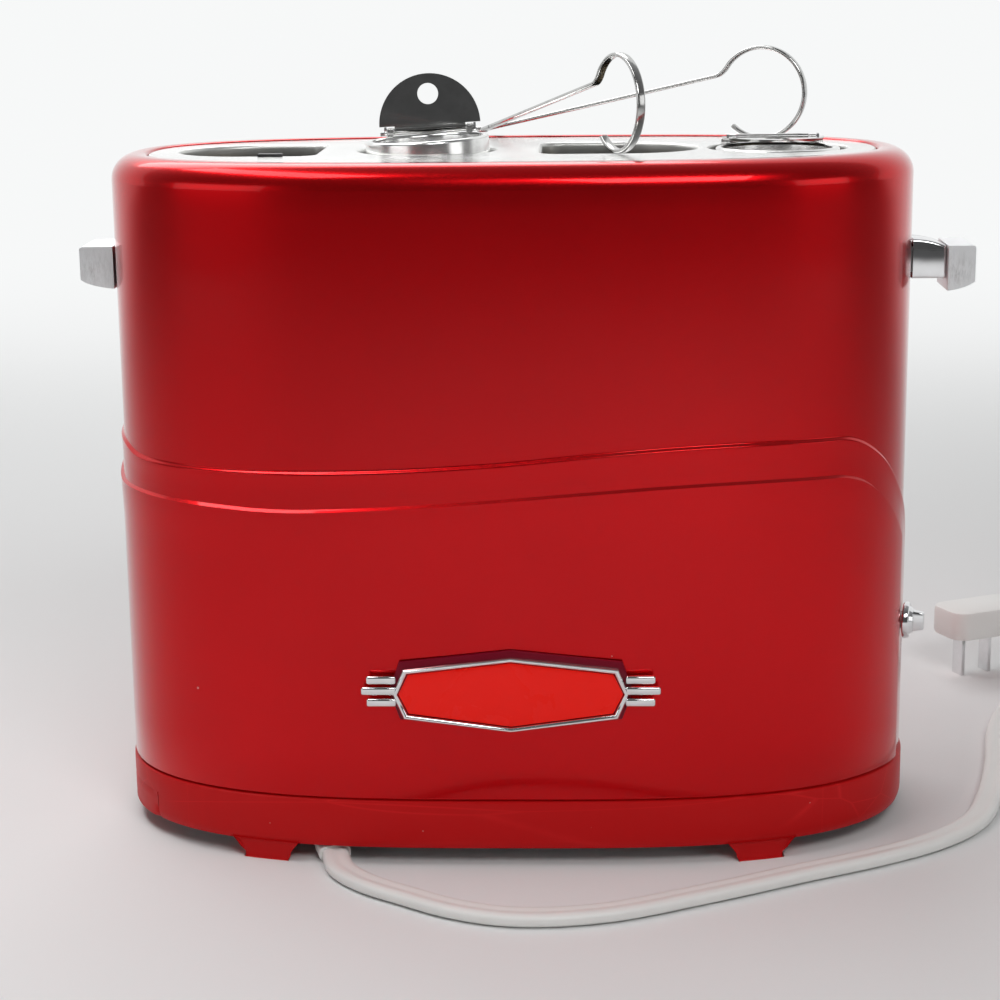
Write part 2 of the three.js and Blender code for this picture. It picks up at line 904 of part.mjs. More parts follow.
function addCage(parent, number, x, top, tilt, foldTurn) {
  const holder = new THREE.Group();
  holder.position.set(x, 0, top);
  holder.rotation.y = -tilt;
  parent.add(holder);
  piece(holder, `cage_${number}`, cage(), chrome);
  piece(holder, `flap_pin_${number}`, flapPin(), steel).position.set(0, hingeY, hingeRise);
  const leaf = piece(holder, `flap_${number}`, flap(), chrome);
  leaf.position.set(0, hingeY, hingeRise);
  leaf.rotation.x = foldTurn;
}

// Base

const skirtTop = seamHeight - seatGap;
const bottomPlateTop = bottomPlateHeight + bottomPlateThickness;

function trayBand(outerRise, depth, low, high) {
  return bodyBand([
    [outerRise - skirtTuck, low],
    [outerRise, low + skirtTuckHeight],
    [outerRise, high],
    [outerRise - depth, high],
    [outerRise - depth, low],
  ]);
}

function feet() {
  const top = bottomPlateHeight - seatGap;
  const band = bodyBand([
    [skirtRise - 2 * skirtTuck, 0],
    [skirtRise - skirtTuck, top],
    [skirtRise - skirtTuck - footDepth, top],
    [skirtRise - skirtTuck - footDepth, 0],
  ]);
  const blocks = [];
  [-footX, footX].forEach((x) => {
    const shape = new THREE.Shape();
    shape.moveTo(x - footBottomWidth / 2, -overrun);
    shape.lineTo(x + footBottomWidth / 2, -overrun);
    shape.lineTo(x + footBottomWidth / 2, 0);
    shape.lineTo(x + footTopWidth / 2, top + overrun);
    shape.lineTo(x - footTopWidth / 2, top + overrun);
    shape.lineTo(x - footBottomWidth / 2, 0);
    blocks.push(wall(shape, -bodyHalfDepth - overrun, bodyHalfDepth + overrun));
  });
  return common(band, join(...blocks));
}

function baseSkirt() {
  const inner = skirtRise - skirtWall;
  const skin = bodyBand([
    [skirtRise - skirtTuck, floorGap],
    [skirtRise, floorGap + skirtTuckHeight],
    [skirtRise, skirtTop - skirtChamfer],
    [skirtRise - skirtChamfer, skirtTop],
    [-skirtLipInset, skirtTop],
    [-skirtLipInset, skirtTop + skirtLipHeight],
    [-skirtLipInset - skirtLipWall, skirtTop + skirtLipHeight],
    [-skirtLipInset - skirtLipWall, skirtTop - skirtWall],
    [inner, skirtTop - 2 * skirtWall],
    [inner, floorGap],
  ]);
  const bossBottom = bottomPlateTop + seatGap;
  const bosses = [];
  const bores = [];
  [-screwX, screwX].forEach((x) => {
    [-screwY, screwY].forEach((y) => {
      const way = Math.sign(y);
      const wallY = way * bodyDepthAt(x, skirtRise - skirtWall / 2);
      bosses.push(bar(bossRadius, [x, y, bossBottom], [x, y, bossBottom + bossHeight]));
      bosses.push(block(
        x - bossRib / 2, x + bossRib / 2, Math.min(y, wallY), Math.max(y, wallY), bossBottom, bossBottom + bossHeight));
      bores.push(bar(screwRadius + seatGap, [x, y, 0], [x, y, bottomPlateTop + screwLength]));
    });
  });
  const mouth = block(
    -bodyHalfLength - overrun, -trayRightX, -trayHalfFront - seatGap, trayHalfFront + seatGap,
    0, trayFrontTop + seatGap);
  return cut(join(skin, feet(), ...bosses), mouth, ...bores);
}

function bottomPlate() {
  const plate = slab(bodyOutline(-bottomPlateInset), bottomPlateHeight, bottomPlateTop);
  const holes = [];
  [-screwX, screwX].forEach((x) => {
    [-screwY, screwY].forEach((y) => {
      holes.push(bar(screwRadius + seatGap, [x, y, 0], [x, y, bottomPlateTop + overrun]));
    });
  });
  const [glandX, glandY] = glandRoot();
  holes.push(bar(glandNeckRadius + seatGap, [glandX, glandY, 0], [glandX, glandY, bottomPlateTop + overrun]));
  return cut(plate, ...holes);
}

function baseScrew() {
  const head = bottomPlateHeight - seatGap;
  return join(
    bar(screwHeadRadius, [0, 0, head - screwHeadHeight], [0, 0, head]),
    bar(screwRadius, [0, 0, head], [0, 0, bottomPlateTop + screwLength - seatGap]));
}

function crumbTray() {
  const floor = bottomPlateTop + seatGap;
  const frontBand = trayBand(skirtRise, trayFrontWall, floorGap + seatGap, trayFrontTop);
  const frontBlock = block(
    -bodyHalfLength - overrun, -trayRightX, -trayHalfFront, trayHalfFront, 0, trayFrontTop + overrun);
  const lip = common(frontBand, frontBlock);
  const panLeft = -bodyHalfLength + trayFrontWall;
  const pan = cut(
    block(panLeft - trayFrontWall / 2, trayRightX, -trayHalfWidth, trayHalfWidth, floor, floor + trayWallHeight),
    block(
      panLeft + trayFrontWall, trayRightX - trayWall, -trayHalfWidth + trayWall, trayHalfWidth - trayWall,
      floor + trayWall, floor + overrun + trayWallHeight));
  const corners = bodyBand([
    [skirtRise - trayFrontWall / 2, 0],
    [bodyHalfDepth, 0],
    [bodyHalfDepth, seamHeight],
    [skirtRise - trayFrontWall / 2, seamHeight],
  ]);
  return join(lip, cut(pan, corners));
}

// Heating chassis

const deckBottom = deckTop - deckThickness;
const boardPlaces = [
  ["element_left_end", -chassisHalfLength + endBoardInset],
  ["element_left", leftBoardX],
  ["element_middle", middleBoardX],
  ["element_right", rightBoardX],
  ["element_right_end", chassisHalfLength - endBoardInset],
];
const chassisInnerFront = chassisFrontY + chassisSheet;
const chassisInnerRear = chassisRearY - chassisSheet;

function elementBoard(x) {
  return block(
    x - boardThickness / 2, x + boardThickness / 2, chassisInnerFront + seatGap, chassisInnerRear - seatGap,
    boardBottom, deckBottom - boardTopGap);
}

// The folded channel that holds one edge of an element board, and the stop under it.
function boardChannels(x, side, inner) {
  const root = inner + (side * chassisSheet) / 2;
  const tip = inner - side * channelDepth;
  const low = Math.min(root, tip);
  const high = Math.max(root, tip);
  const half = boardThickness / 2 + seatGap;
  const stopTop = boardBottom - seatGap;
  const rib = (left, right) => block(left, right, low, high, boardBottom, deckBottom - boardTopGap);
  return [
    rib(x - half - channelWall, x - half),
    rib(x + half, x + half + channelWall),
    block(x - half - channelWall, x + half + channelWall, low, high, stopTop - channelWall, stopTop),
  ];
}

function chassisLegs(side, wallY) {
  const reach = side * legReachY;
  const footReach = side * (legReachY + legFoot);
  const upright = side * (legReachY - deckThickness);
  const footBottom = bottomPlateTop + seatGap;
  const start = wallY - side * chassisSheet;
  return [-legX, legX].flatMap((x) => {
    const plate = (from, to, low, high) => block(
      x - legWidth / 2, x + legWidth / 2, Math.min(from, to), Math.max(from, to), low, high);
    return [
      plate(start, reach, chassisBottom, chassisBottom + deckThickness),
      plate(upright, reach, footBottom, chassisBottom + deckThickness),
      plate(upright, footReach, footBottom, footBottom + deckThickness),
    ];
  });
}

// The front or the rear wall of the oven box, with its board channels and its two legs.
function chassisWall(side, wallY) {
  const inner = wallY - side * chassisSheet;
  const low = Math.min(inner, wallY);
  const high = Math.max(inner, wallY);
  const panel = block(
    -chassisHalfLength + chassisSheet + seatGap, chassisHalfLength - chassisSheet - seatGap, low, high,
    chassisBottom, deckBottom - seatGap);
  const channels = boardPlaces.flatMap(([, x]) => boardChannels(x, side, inner));
  return join(panel, ...channels, ...chassisLegs(side, wallY));
}

function chassisRear() {
  const hangerHalf = hangerWidth / 2 + hangerSlotGap;
  const hangerSlots = [leftShelfX, rightShelfX].map((x) => block(
    x - hangerHalf, x + hangerHalf, chassisInnerRear - overrun / 2, chassisRearY + overrun,
    shelfHeight - leverTravel - hangerSlotGap, shelfHeight + shelfThickness + hangerSlotGap));
  return cut(chassisWall(1, chassisRearY), ...hangerSlots);
}

// The deck that the cages stand on, with the cup that lets the second one down.
function chassisDeck() {
  const sheetPiece = block(
    -chassisHalfLength, chassisHalfLength, chassisFrontY, chassisRearY, deckBottom, deckTop);
  const holes = plateOpenings(deckGrow).slice(0, 2).map((shape) =>
    slab(shape, deckBottom - overrun, deckTop + overrun));
  holes.push(slab(roundOutline(cageOneX, cageRadius - cupWall), deckBottom - overrun, deckTop + overrun));
  holes.push(slab(roundOutline(cageTwoX, cageRadius + runningGap), deckBottom - overrun, deckTop + overrun));
  const cupBottom = cupTop - cupWall;
  const cupOutline = [
    [cageRadius - cupWall, cupBottom],
    [cageRadius + runningGap + cupWall, cupBottom],
    [cageRadius + runningGap + cupWall, deckTop - deckThickness / 2],
    [cageRadius + runningGap, deckTop - deckThickness / 2],
    [cageRadius + runningGap, cupTop],
    [cageRadius - cupWall, cupTop],
  ];
  const cup = turned(cupOutline).translate([cageTwoX, 0, 0]);
  return join(cut(sheetPiece, ...holes), cup);
}

function chassisLeftEnd() {
  return block(
    -chassisHalfLength, -chassisHalfLength + chassisSheet, chassisFrontY, chassisRearY,
    chassisBottom, deckBottom - seatGap);
}

// The right end wall, with the two shelves that hold the guide rods, the spring's anchor and
// the spacers of the control board.
function chassisRightEnd() {
  const innerX = chassisHalfLength - chassisSheet;
  const top = deckBottom - seatGap;
  const shelf = (low, high) => block(innerX, rodShelfReach, -rodShelfHalfWidth, rodShelfHalfWidth, low, high);
  const anchor = block(
    rodX, springX + springTabHalfWidth, springY - springTabHalfWidth, springY + springTabHalfWidth,
    top - deckThickness, top);
  const spacers = [circuitBottom + spacerInset, circuitTop - spacerInset].map((height) => {
    const middle = (circuitFrontY + circuitRearY) / 2;
    return bar(
      spacerRadius, [chassisHalfLength - chassisSheet / 2, middle, height],
      [chassisHalfLength + circuitStandoff, middle, height]);
  });
  return join(
    block(innerX, chassisHalfLength, chassisFrontY, chassisRearY, chassisBottom, top),
    shelf(top - deckThickness, top), shelf(chassisBottom, chassisBottom + deckThickness), anchor, ...spacers);
}

// Carriage and rack

function carriagePlate() {
  const low = rodX - carriageSheet / 2;
  const plate = block(low, low + carriageSheet, -rodY, rodY, carriageBottom, carriageTop);
  const tongue = block(low, tongueReach, -tongueThickness / 2, tongueThickness / 2, tongueBottom, tongueTop);
  const hook = block(
    low, springX + springTabHalfWidth, springY - springTabHalfWidth, springY + springTabHalfWidth,
    carriageBottom, carriageBottom + springTab);
  const bushes = [-rodY, rodY].map((y) =>
    bar(bushRadius, [rodX, y, carriageBottom], [rodX, y, carriageTop], roundCount / 2));
  const bores = [-rodY, rodY].map((y) =>
    bar(rodRadius + runningGap, [rodX, y, carriageBottom - overrun], [rodX, y, carriageTop + overrun]));
  return cut(join(plate, tongue, hook, ...bushes), ...bores);
}

const railEnd = rodX - bushRadius - railSheet;

function bunRack() {
  const front = chassisRearY + railGap;
  const back = front + railSheet;
  const railBottom = carriageBottom;
  const rail = block(leftShelfX - hangerWidth / 2, railEnd, front, back, railBottom, railBottom + railHeight);
  const parts = [rail];
  [leftShelfX, rightShelfX].forEach((x) => {
    const low = x - hangerWidth / 2;
    const high = x + hangerWidth / 2;
    const shelfBack = chassisInnerRear - channelDepth - seatGap;
    parts.push(block(low, high, front, back, shelfHeight, railBottom + railHeight));
    parts.push(block(low, high, shelfFrontY, back, shelfHeight, shelfHeight + shelfThickness));
    const spread = (shelfTineCount - 1) / 2;
    const half = spread * shelfTinePitch + shelfTineWidth / 2;
    parts.push(block(
      x - half, x + half, shelfBack - shelfTineWidth, shelfBack, shelfHeight, shelfHeight + shelfThickness));
    for (let k = -spread; k <= spread; k += 1) {
      const middle = x + k * shelfTinePitch;
      parts.push(block(
        middle - shelfTineWidth / 2, middle + shelfTineWidth / 2, shelfFrontY, shelfBack,
        shelfHeight, shelfHeight + shelfThickness));
    }
  });
  return join(...parts);
}

// The arm that joins the rack's rail to the carriage at its rear bush.
function rackLink() {
  const front = chassisRearY + railGap;
  const middle = rodX - carriageSheet / 2;
  const bushWallY = rodY + (bushRadius + rodRadius + runningGap) / 2;
  return join(
    block(middle, middle + carriageSheet, bushWallY, front + railSheet, carriageBottom, carriageBottom + railHeight),
    block(
      railEnd + seatGap, middle + carriageSheet, front, front + railSheet,
      carriageBottom, carriageBottom + railHeight));
}

class Helix extends THREE.Curve {
  constructor(radius, height, turnCount) {
    super();
    this.radius = radius;
    this.height = height;
    this.turnCount = turnCount;
  }

  getPoint(t, target = new THREE.Vector3()) {
    const angle = 2 * Math.PI * this.turnCount * t;
    return target.set(this.radius * Math.cos(angle), this.radius * Math.sin(angle), this.height * t);
  }
}

const springBottom = carriageBottom + springTab + seatGap + springWire / 2;
const springTop = deckBottom - deckThickness - 2 * seatGap - springWire / 2;

function liftSpring() {
  const helix = new Helix(springRadius, springTop - springBottom, springTurnCount);
  const section = new THREE.Shape();
  for (let k = 0; k < springSideCount; k += 1) {
    const angle = (2 * Math.PI * k) / springSideCount;
    const x = (springWire / 2) * Math.cos(angle);
    const y = (springWire / 2) * Math.sin(angle);
    if (k) section.lineTo(x, y);
    else section.moveTo(x, y);
  }
  section.closePath();
  const wire = new THREE.ExtrudeGeometry(section, {
    steps: springTurnCount * springStepCount,
    extrudePath: helix,
  });
  wire.translate(springX, springY, springBottom);
  return solidOf(wire);
}

function guideRod() {
  return bar(
    rodRadius, [0, 0, chassisBottom + deckThickness + seatGap],
    [0, 0, deckBottom - deckThickness - 2 * seatGap], roundCount / 2);
}

// Latch and electrics

function latchMagnet() {
  const face = chassisHalfLength + seatGap;
  const top = carriageBottom - leverTravel - runningGap;
  return block(face, face + magnetLength, magnetFrontY, magnetFrontY + magnetWidth, top - magnetHeight, top);
}

const circuitFace = chassisHalfLength + circuitStandoff + seatGap;

function controlBoard() {
  return block(circuitFace, circuitFace + circuitThickness, circuitFrontY, circuitRearY, circuitBottom, circuitTop);
}

// The timer about the dial's axis, pointing along +Z, with its nose at zero.
function timerPot() {
  return turned([
    [0, -potNoseLength - potLength],
    [potRadius, -potNoseLength - potLength],
    [potRadius, -potNoseLength],
    [potNoseRadius, -potNoseLength],
    [potNoseRadius, 0],
    [shaftRadius + seatGap, 0],
    [shaftRadius + seatGap, -potBoreDepth],
    [0, -potBoreDepth],
  ]);
}

function dialShaft() {
  return bar(shaftRadius, [0, 0, socketGap - potBoreDepth], [0, 0, potStandoff + socketDepth - socketGap + runningGap]);
}

// The dial about its own axis, pointing along +Z.
function timerDial() {
  const cap = turned([
    [0, 0],
    [dialRadius, 0],
    [dialRadius, dialThickness / 2],
    [dialRadius - dialThickness / 3, dialThickness],
    [dialRadius / 2, dialThickness + dialDome],
    [0, dialThickness + dialDome],
  ]);
  const socket = bar(shaftRadius + socketGap, [0, 0, -overrun], [0, 0, socketDepth]);
  const grip = new THREE.Shape();
  grip.moveTo(-dialGripHeight / 2, dialThickness);
  grip.lineTo(dialGripHeight / 2, dialThickness);
  grip.lineTo(dialGripTipHeight / 2, dialThickness + dialGripReach);
  grip.lineTo(-dialGripTipHeight / 2, dialThickness + dialGripReach);
  return cut(join(cap, wall(grip, -dialGripWidth / 2, dialGripWidth / 2)), socket);
}

// Lever and left handle

function capOutline(inner, outer, low, high) {
  const way = Math.sign(outer - inner);
  const shape = new THREE.Shape();
  shape.moveTo(inner, low);
  shape.quadraticCurveTo(outer - way * capTuck, low + capTuck / 4, outer, low + capTuck);
  shape.lineTo(outer, high - capTuck / 2);
  shape.quadraticCurveTo(outer, high, outer - way * capTuck / 2, high);
  shape.lineTo(inner, high);
  return shape;
}

function leverCap() {
  const inner = armReach;
  const outer = inner + capLength;
  return roundedWall(capOutline(inner, outer, capBottom, capTop), capHalfWidth, inner, outer, capBottom, capTop);
}

function leverArm() {
  const inner = bodyHalfLength + runningGap;
  const outer = armReach - seatGap;
  const shape = new THREE.Shape();
  shape.moveTo(inner, armBottom);
  shape.lineTo(outer, armBottom);
  shape.lineTo(outer, armTopOuter);
  shape.quadraticCurveTo((inner + outer) / 2, armTopInner, inner, armTopInner);
  const socket = block(
    inner - overrun, tongueReach + seatGap, -tongueThickness / 2 - seatGap, tongueThickness / 2 + seatGap,
    tongueBottom - seatGap, tongueTop + seatGap);
  return cut(wall(shape, -armHalfWidth, armHalfWidth), socket);
}

function leftHandle() {
  const inner = -bodyHalfLength - seatGap;
  return roundedWall(
    capOutline(inner, -handleReach, handleBottom, handleTop), capHalfWidth, inner, -handleReach,
    handleBottom, handleTop);
}

// Badge

function badgeOutline(grow) {
  const slantShare = (badgeHalfWidth + grow) / badgeHalfWidth;
  const middle = badgeTipHeight;
  const rise = (height) => middle + (height - middle) + Math.sign(height - middle) * grow;
  const shape = new THREE.Shape();
  shape.moveTo(-badgeHalfWidth * slantShare, middle);
  shape.lineTo(-badgeShoulder * slantShare, rise(badgeBottomShoulder));
  shape.lineTo(0, rise(badgeBottom));
  shape.lineTo(badgeShoulder * slantShare, rise(badgeBottomShoulder));
  shape.lineTo(badgeHalfWidth * slantShare, middle);
  shape.lineTo(badgeShoulder * slantShare, rise(badgeTopShoulder));
  shape.lineTo(0, rise(badgeTop));
  shape.lineTo(-badgeShoulder * slantShare, rise(badgeTopShoulder));
  return shape;
}

const badgeFace = -bodyHalfDepth - panelRise - seatGap;
const badgeFront = badgeFace - badgeBacking;

function badgeFrame() {
  const back = badgeFront - seatGap;
  const frontY = back - badgeFrameThickness;
  const ring = cut(wall(badgeOutline(0), frontY, back), wall(badgeOutline(-badgeRim), frontY - overrun, back + overrun));
  const bars = badgeBarHeights.flatMap((height, k) => [-1, 1].map((side) => {
    const inside = side * (badgeShoulder + badgeRim / 2);
    const outside = side * badgeBarReaches[k];
    return block(
      Math.min(inside, outside), Math.max(inside, outside), frontY, back,
      height - badgeBarHeight / 2, height + badgeBarHeight / 2);
  }));
  const window = wall(badgeOutline(-badgeRim), frontY - overrun, back + overrun);
  return cut(join(ring, ...bars), window);
}

function badgeEnamel() {
  const back = badgeFront - seatGap;
  return wall(badgeOutline(-badgeRim - seatGap), back - badgeEnamelThickness, back);
}

// Tongs

// The side view of one arm, from its bend at zero to the loop: distance along and height.
function tongPath() {
  const centreHeight = plateTop + seatGap + tongThickness / 2 + tongLoopRadius - tongBendHeight;
  const points = [];
  const shoulderHeight = centreHeight + tongShoulderDrop;
  const shoulderAt = tongLength - tongShoulder;
  const turnStart = THREE.MathUtils.degToRad(tongLoopStartDegrees);
  const loopStart = new THREE.Vector2(
    tongLength + tongLoopRadius * Math.cos(turnStart), centreHeight + tongLoopRadius * Math.sin(turnStart));
  const shoulder = new THREE.Vector2(shoulderAt, shoulderHeight);
  points.push(new THREE.Vector2(0, 0));
  points.push(shoulder.clone().multiplyScalar(1 - tongShoulderRadius / shoulder.length()));
  points.push(shoulder.clone().multiplyScalar(1 - tongShoulderRadius / 4 / shoulder.length()));
  points.push(loopStart);
  const end = THREE.MathUtils.degToRad(tongLoopEndDegrees);
  for (let k = 1; k <= tongLoopCount; k += 1) {
    const angle = turnStart + ((end - turnStart) * k) / tongLoopCount;
    points.push(new THREE.Vector2(
      tongLength + tongLoopRadius * Math.cos(angle), centreHeight + tongLoopRadius * Math.sin(angle)));
  }
  return points;
}

// A flat strip that follows a side view, centred on it.
function tongStrip(points) {
  const rows = points.map((point, i) => {
    const before = points[Math.max(i - 1, 0)];
    const after = points[Math.min(i + 1, points.length - 1)];
    const across = after.clone().sub(before).normalize().rotateAround(new THREE.Vector2(0, 0), Math.PI / 2);
    const corners = [[-1, -1], [1, -1], [1, 1], [-1, 1]];
    return corners.map(([wide, thick]) => new THREE.Vector3(
      point.x + (across.x * thick * tongThickness) / 2,
      (wide * tongWidth) / 2,
      point.y + (across.y * thick * tongThickness) / 2));
  });
  return skinned(rows, false);
}

function tongArm(startAt) {
  const points = tongPath();
  const slope = points[1].clone().normalize();
  points[0] = slope.multiplyScalar(startAt);
  return tongStrip(points);
}

// The bow at the bend, which carries the heel that the near arm springs from.
function tongBow() {
  const slope = tongPath()[1].clone().normalize();
  const heel = tongStrip([new THREE.Vector2(0, 0), slope.multiplyScalar(tongHeel)]);
  const round = bar(tongBowRadius, [0, 0, -tongThickness / 2], [0, 0, tongThickness / 2]);
  return join(heel.rotate([0, 0, tongNearDegrees - tongFarDegrees]), round);
}

// Cord and plug

function routePoint(place) {
  return new THREE.Vector3(...place);
}

// A flat oval section, drawn about a centre with its own across and up directions.
function ovalRow(centre, across, up, width, height) {
  const row = [];
  const count = 10;
  for (let k = 0; k < count; k += 1) {
    const angle = (2 * Math.PI * (k + 1 / 2)) / count;
    const wide = Math.sign(Math.cos(angle)) * Math.abs(Math.cos(angle)) ** (2 / 3);
    const tall = Math.sign(Math.sin(angle)) * Math.abs(Math.sin(angle)) ** (2 / 3);
    row.push(centre.clone()
      .addScaledVector(across, (wide * width) / 2)
      .addScaledVector(up, (tall * height) / 2));
  }
  return row;
}

function glandAxis() {
  return routePoint(cordRoute[1]).sub(routePoint(cordRoute[0])).setZ(0).normalize();
}

function glandRoot() {
  const root = routePoint(cordRoute[0]).addScaledVector(glandAxis(), -glandLength);
  return [root.x, root.y];
}

function cordGland() {
  const along = glandAxis();
  const across = new THREE.Vector3(along.y, -along.x, 0);
  const up = new THREE.Vector3(0, 0, 1);
  const end = routePoint(cordRoute[0]).addScaledVector(along, -seatGap);
  const [x, y] = glandRoot();
  const rootHeight = bottomPlateHeight - seatGap - glandHeight / 2;
  const root = new THREE.Vector3(x, y, rootHeight).addScaledVector(along, -glandHeadRadius);
  const body = skinned([
    ovalRow(end, across, up, cordWidth * glandEndShare, cordThickness * glandEndShare),
    ovalRow(root.clone().lerp(end, 1 / 2).setZ(rootHeight), across, up, cordWidth * glandWideShare, glandHeight),
    ovalRow(root, across, up, cordWidth * glandWideShare, glandHeight),
  ], false);
  const headBottom = bottomPlateTop + seatGap;
  const neck = bar(glandNeckRadius, [x, y, rootHeight], [x, y, headBottom + glandHeadHeight / 2]);
  const head = bar(glandHeadRadius, [x, y, headBottom], [x, y, headBottom + glandHeadHeight]);
  return join(body, neck, head);
}

function powerCord() {
  const route = new THREE.CatmullRomCurve3(cordRoute.map(routePoint), false, "centripetal");
  const section = new THREE.Shape();
  const flat = ovalRow(
    new THREE.Vector3(), new THREE.Vector3(0, 1, 0), new THREE.Vector3(1, 0, 0), cordWidth, cordThickness);
  flat.forEach((point, k) => {
    if (k) section.lineTo(point.x, point.y);
    else section.moveTo(point.x, point.y);
  });
  section.closePath();
  return solidOf(new THREE.ExtrudeGeometry(section, { steps: cordStepCount, extrudePath: route }));
}

function plugBody() {
  const low = bladeLength + seatGap;
  const shape = new THREE.Shape();
  const left = -plugTipReach;
  const right = plugHeelReach;
  shape.moveTo(left + plugCorner, -plugHalfWidth);
  shape.lineTo(right - plugCorner, -plugHalfWidth);
  shape.quadraticCurveTo(right, -plugHalfWidth, right, -plugHalfWidth + plugCorner);
  shape.lineTo(right, plugHalfWidth - plugCorner);
  shape.quadraticCurveTo(right, plugHalfWidth, right - plugCorner, plugHalfWidth);
  shape.lineTo(left + plugCorner, plugHalfWidth);
  shape.quadraticCurveTo(left, plugHalfWidth, left, plugHalfWidth - plugCorner);
  shape.lineTo(left, -plugHalfWidth + plugCorner);
  shape.quadraticCurveTo(left, -plugHalfWidth, left + plugCorner, -plugHalfWidth);
  const body = new THREE.ExtrudeGeometry(shape, {
    depth: plugThickness - 2 * plugRound,
    bevelThickness: plugRound,
    bevelSize: plugRound,
    bevelOffset: -plugRound,
    bevelSegments: 2,
    curveSegments: 3,
  });
  body.translate(0, 0, low + plugRound);
  const across = new THREE.Vector3(0, 1, 0);
  const up = new THREE.Vector3(0, 0, 1);
  const relief = skinned([
    ovalRow(new THREE.Vector3(right - plugCorner / 2, 0, reliefCentre), across, up, reliefStartWidth, reliefStartHeight),
    ovalRow(
      new THREE.Vector3(right + reliefLength, 0, reliefCentre), across, up,
      cordWidth * glandEndShare, cordThickness * glandEndShare),
  ], false);
  return join(solidOf(body), relief);
}

function plugBlade(x) {
  return block(x - bladeThickness / 2, x + bladeThickness / 2, -bladeWidth / 2, bladeWidth / 2, 0, bladeLength);
}

// The toaster

const toaster = new THREE.Group();
piece(toaster, "outer_shell", outerShell(), redShell);
piece(toaster, "top_plate", topPlate(), chrome);
piece(toaster, "base_skirt", baseSkirt(), redPlastic);
piece(toaster, "bottom_plate", bottomPlate(), steel);
piece(toaster, "crumb_tray", crumbTray(), redPlastic);
piece(toaster, "chassis_front", chassisWall(-1, chassisFrontY), steel);
piece(toaster, "chassis_rear", chassisRear(), steel);
piece(toaster, "chassis_deck", chassisDeck(), steel);
piece(toaster, "chassis_left_end", chassisLeftEnd(), steel);
piece(toaster, "chassis_right_end", chassisRightEnd(), steel);
boardPlaces.forEach(([name, x]) => piece(toaster, name, elementBoard(x), mica));
[["base_screw_front_left", -1, -1], ["base_screw_front_right", 1, -1],
  ["base_screw_rear_left", -1, 1], ["base_screw_rear_right", 1, 1]].forEach(([name, sideX, sideY]) => {
  piece(toaster, name, baseScrew(), steel).position.set(sideX * screwX, sideY * screwY, 0);
});
piece(toaster, "left_handle", leftHandle(), chrome);

const carriage = new THREE.Group();
toaster.add(carriage);
piece(carriage, "carriage", join(carriagePlate(), rackLink()), steel);
piece(carriage, "bun_rack", bunRack(), steel);
piece(carriage, "lever_arm", leverArm(), chrome);
piece(carriage, "lever_cap", leverCap(), chrome);
piece(toaster, "guide_rod_front", guideRod(), steel).position.set(rodX, -rodY, 0);
piece(toaster, "guide_rod_rear", guideRod(), steel).position.set(rodX, rodY, 0);
piece(toaster, "lift_spring", liftSpring(), steel);
piece(toaster, "latch_magnet", latchMagnet(), darkPlastic);
piece(toaster, "control_board", controlBoard(), circuitGreen);

function onDial(mesh, distance) {
  mesh.position.fromArray(onDialAxis(distance));
  mesh.quaternion.setFromUnitVectors(new THREE.Vector3(0, 0, 1), seat.outwards);
}
onDial(piece(toaster, "timer_pot", timerPot(), darkPlastic), -potStandoff);
onDial(piece(toaster, "dial_shaft", dialShaft(), steel), -potStandoff);
onDial(piece(toaster, "timer_dial", timerDial(), chrome), runningGap);

addCage(toaster, 1, cageOneX, cageOneTop, cageTilt, 0);
addCage(toaster, 2, cageTwoX, cageTwoTop, 0, Math.PI / 2);

piece(toaster, "badge_backing", wall(badgeOutline(badgeBackingGrow), badgeFront, badgeFace), maroon);
piece(toaster, "badge_frame", badgeFrame(), chrome);
piece(toaster, "badge_enamel", badgeEnamel(), enamel);

const tongs = new THREE.Group();
tongs.position.set(tongBendX, tongBendY, tongBendHeight);
toaster.add(tongs);
piece(tongs, "tong_arm_far", join(tongArm(0), tongBow()), steel).rotation.z =
  THREE.MathUtils.degToRad(tongFarDegrees);
piece(tongs, "tong_arm_near", tongArm(tongHeel + tongJointGap), steel).rotation.z = THREE.MathUtils.degToRad(tongNearDegrees);

// The origin is on the floor, under the middle of everything but the cord.
const middle = new THREE.Box3().setFromObject(toaster, true).getCenter(new THREE.Vector3());
toaster.position.set(-middle.x, -middle.y, 0);

piece(toaster, "cord_gland", cordGland(), whitePlastic);
piece(toaster, "power_cord", powerCord(), whitePlastic);
const plug = new THREE.Group();
plug.position.set(plugX, plugY, 0);
plug.rotation.z = THREE.MathUtils.degToRad(plugYawDegrees);
toaster.add(plug);
piece(plug, "plug_body", plugBody(), whitePlastic);
piece(plug, "plug_blade_left", plugBlade(-bladePitch / 2), steel);
piece(plug, "plug_blade_right", plugBlade(bladePitch / 2), steel);

export default toaster;
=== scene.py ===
"""The looks of an upright hot dog toaster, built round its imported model.

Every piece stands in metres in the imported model's own frame: the lever end is +X, the back is +Y
and the worktop is at zero height. Sizes given as shares have no unit.
"""

import math
from bisect import bisect_left

import bmesh
import bpy
from bpy.props import FloatProperty, FloatVectorProperty, IntProperty, PointerProperty
from bpy.types import Operator, Panel, PropertyGroup
from mathutils import Matrix, Vector


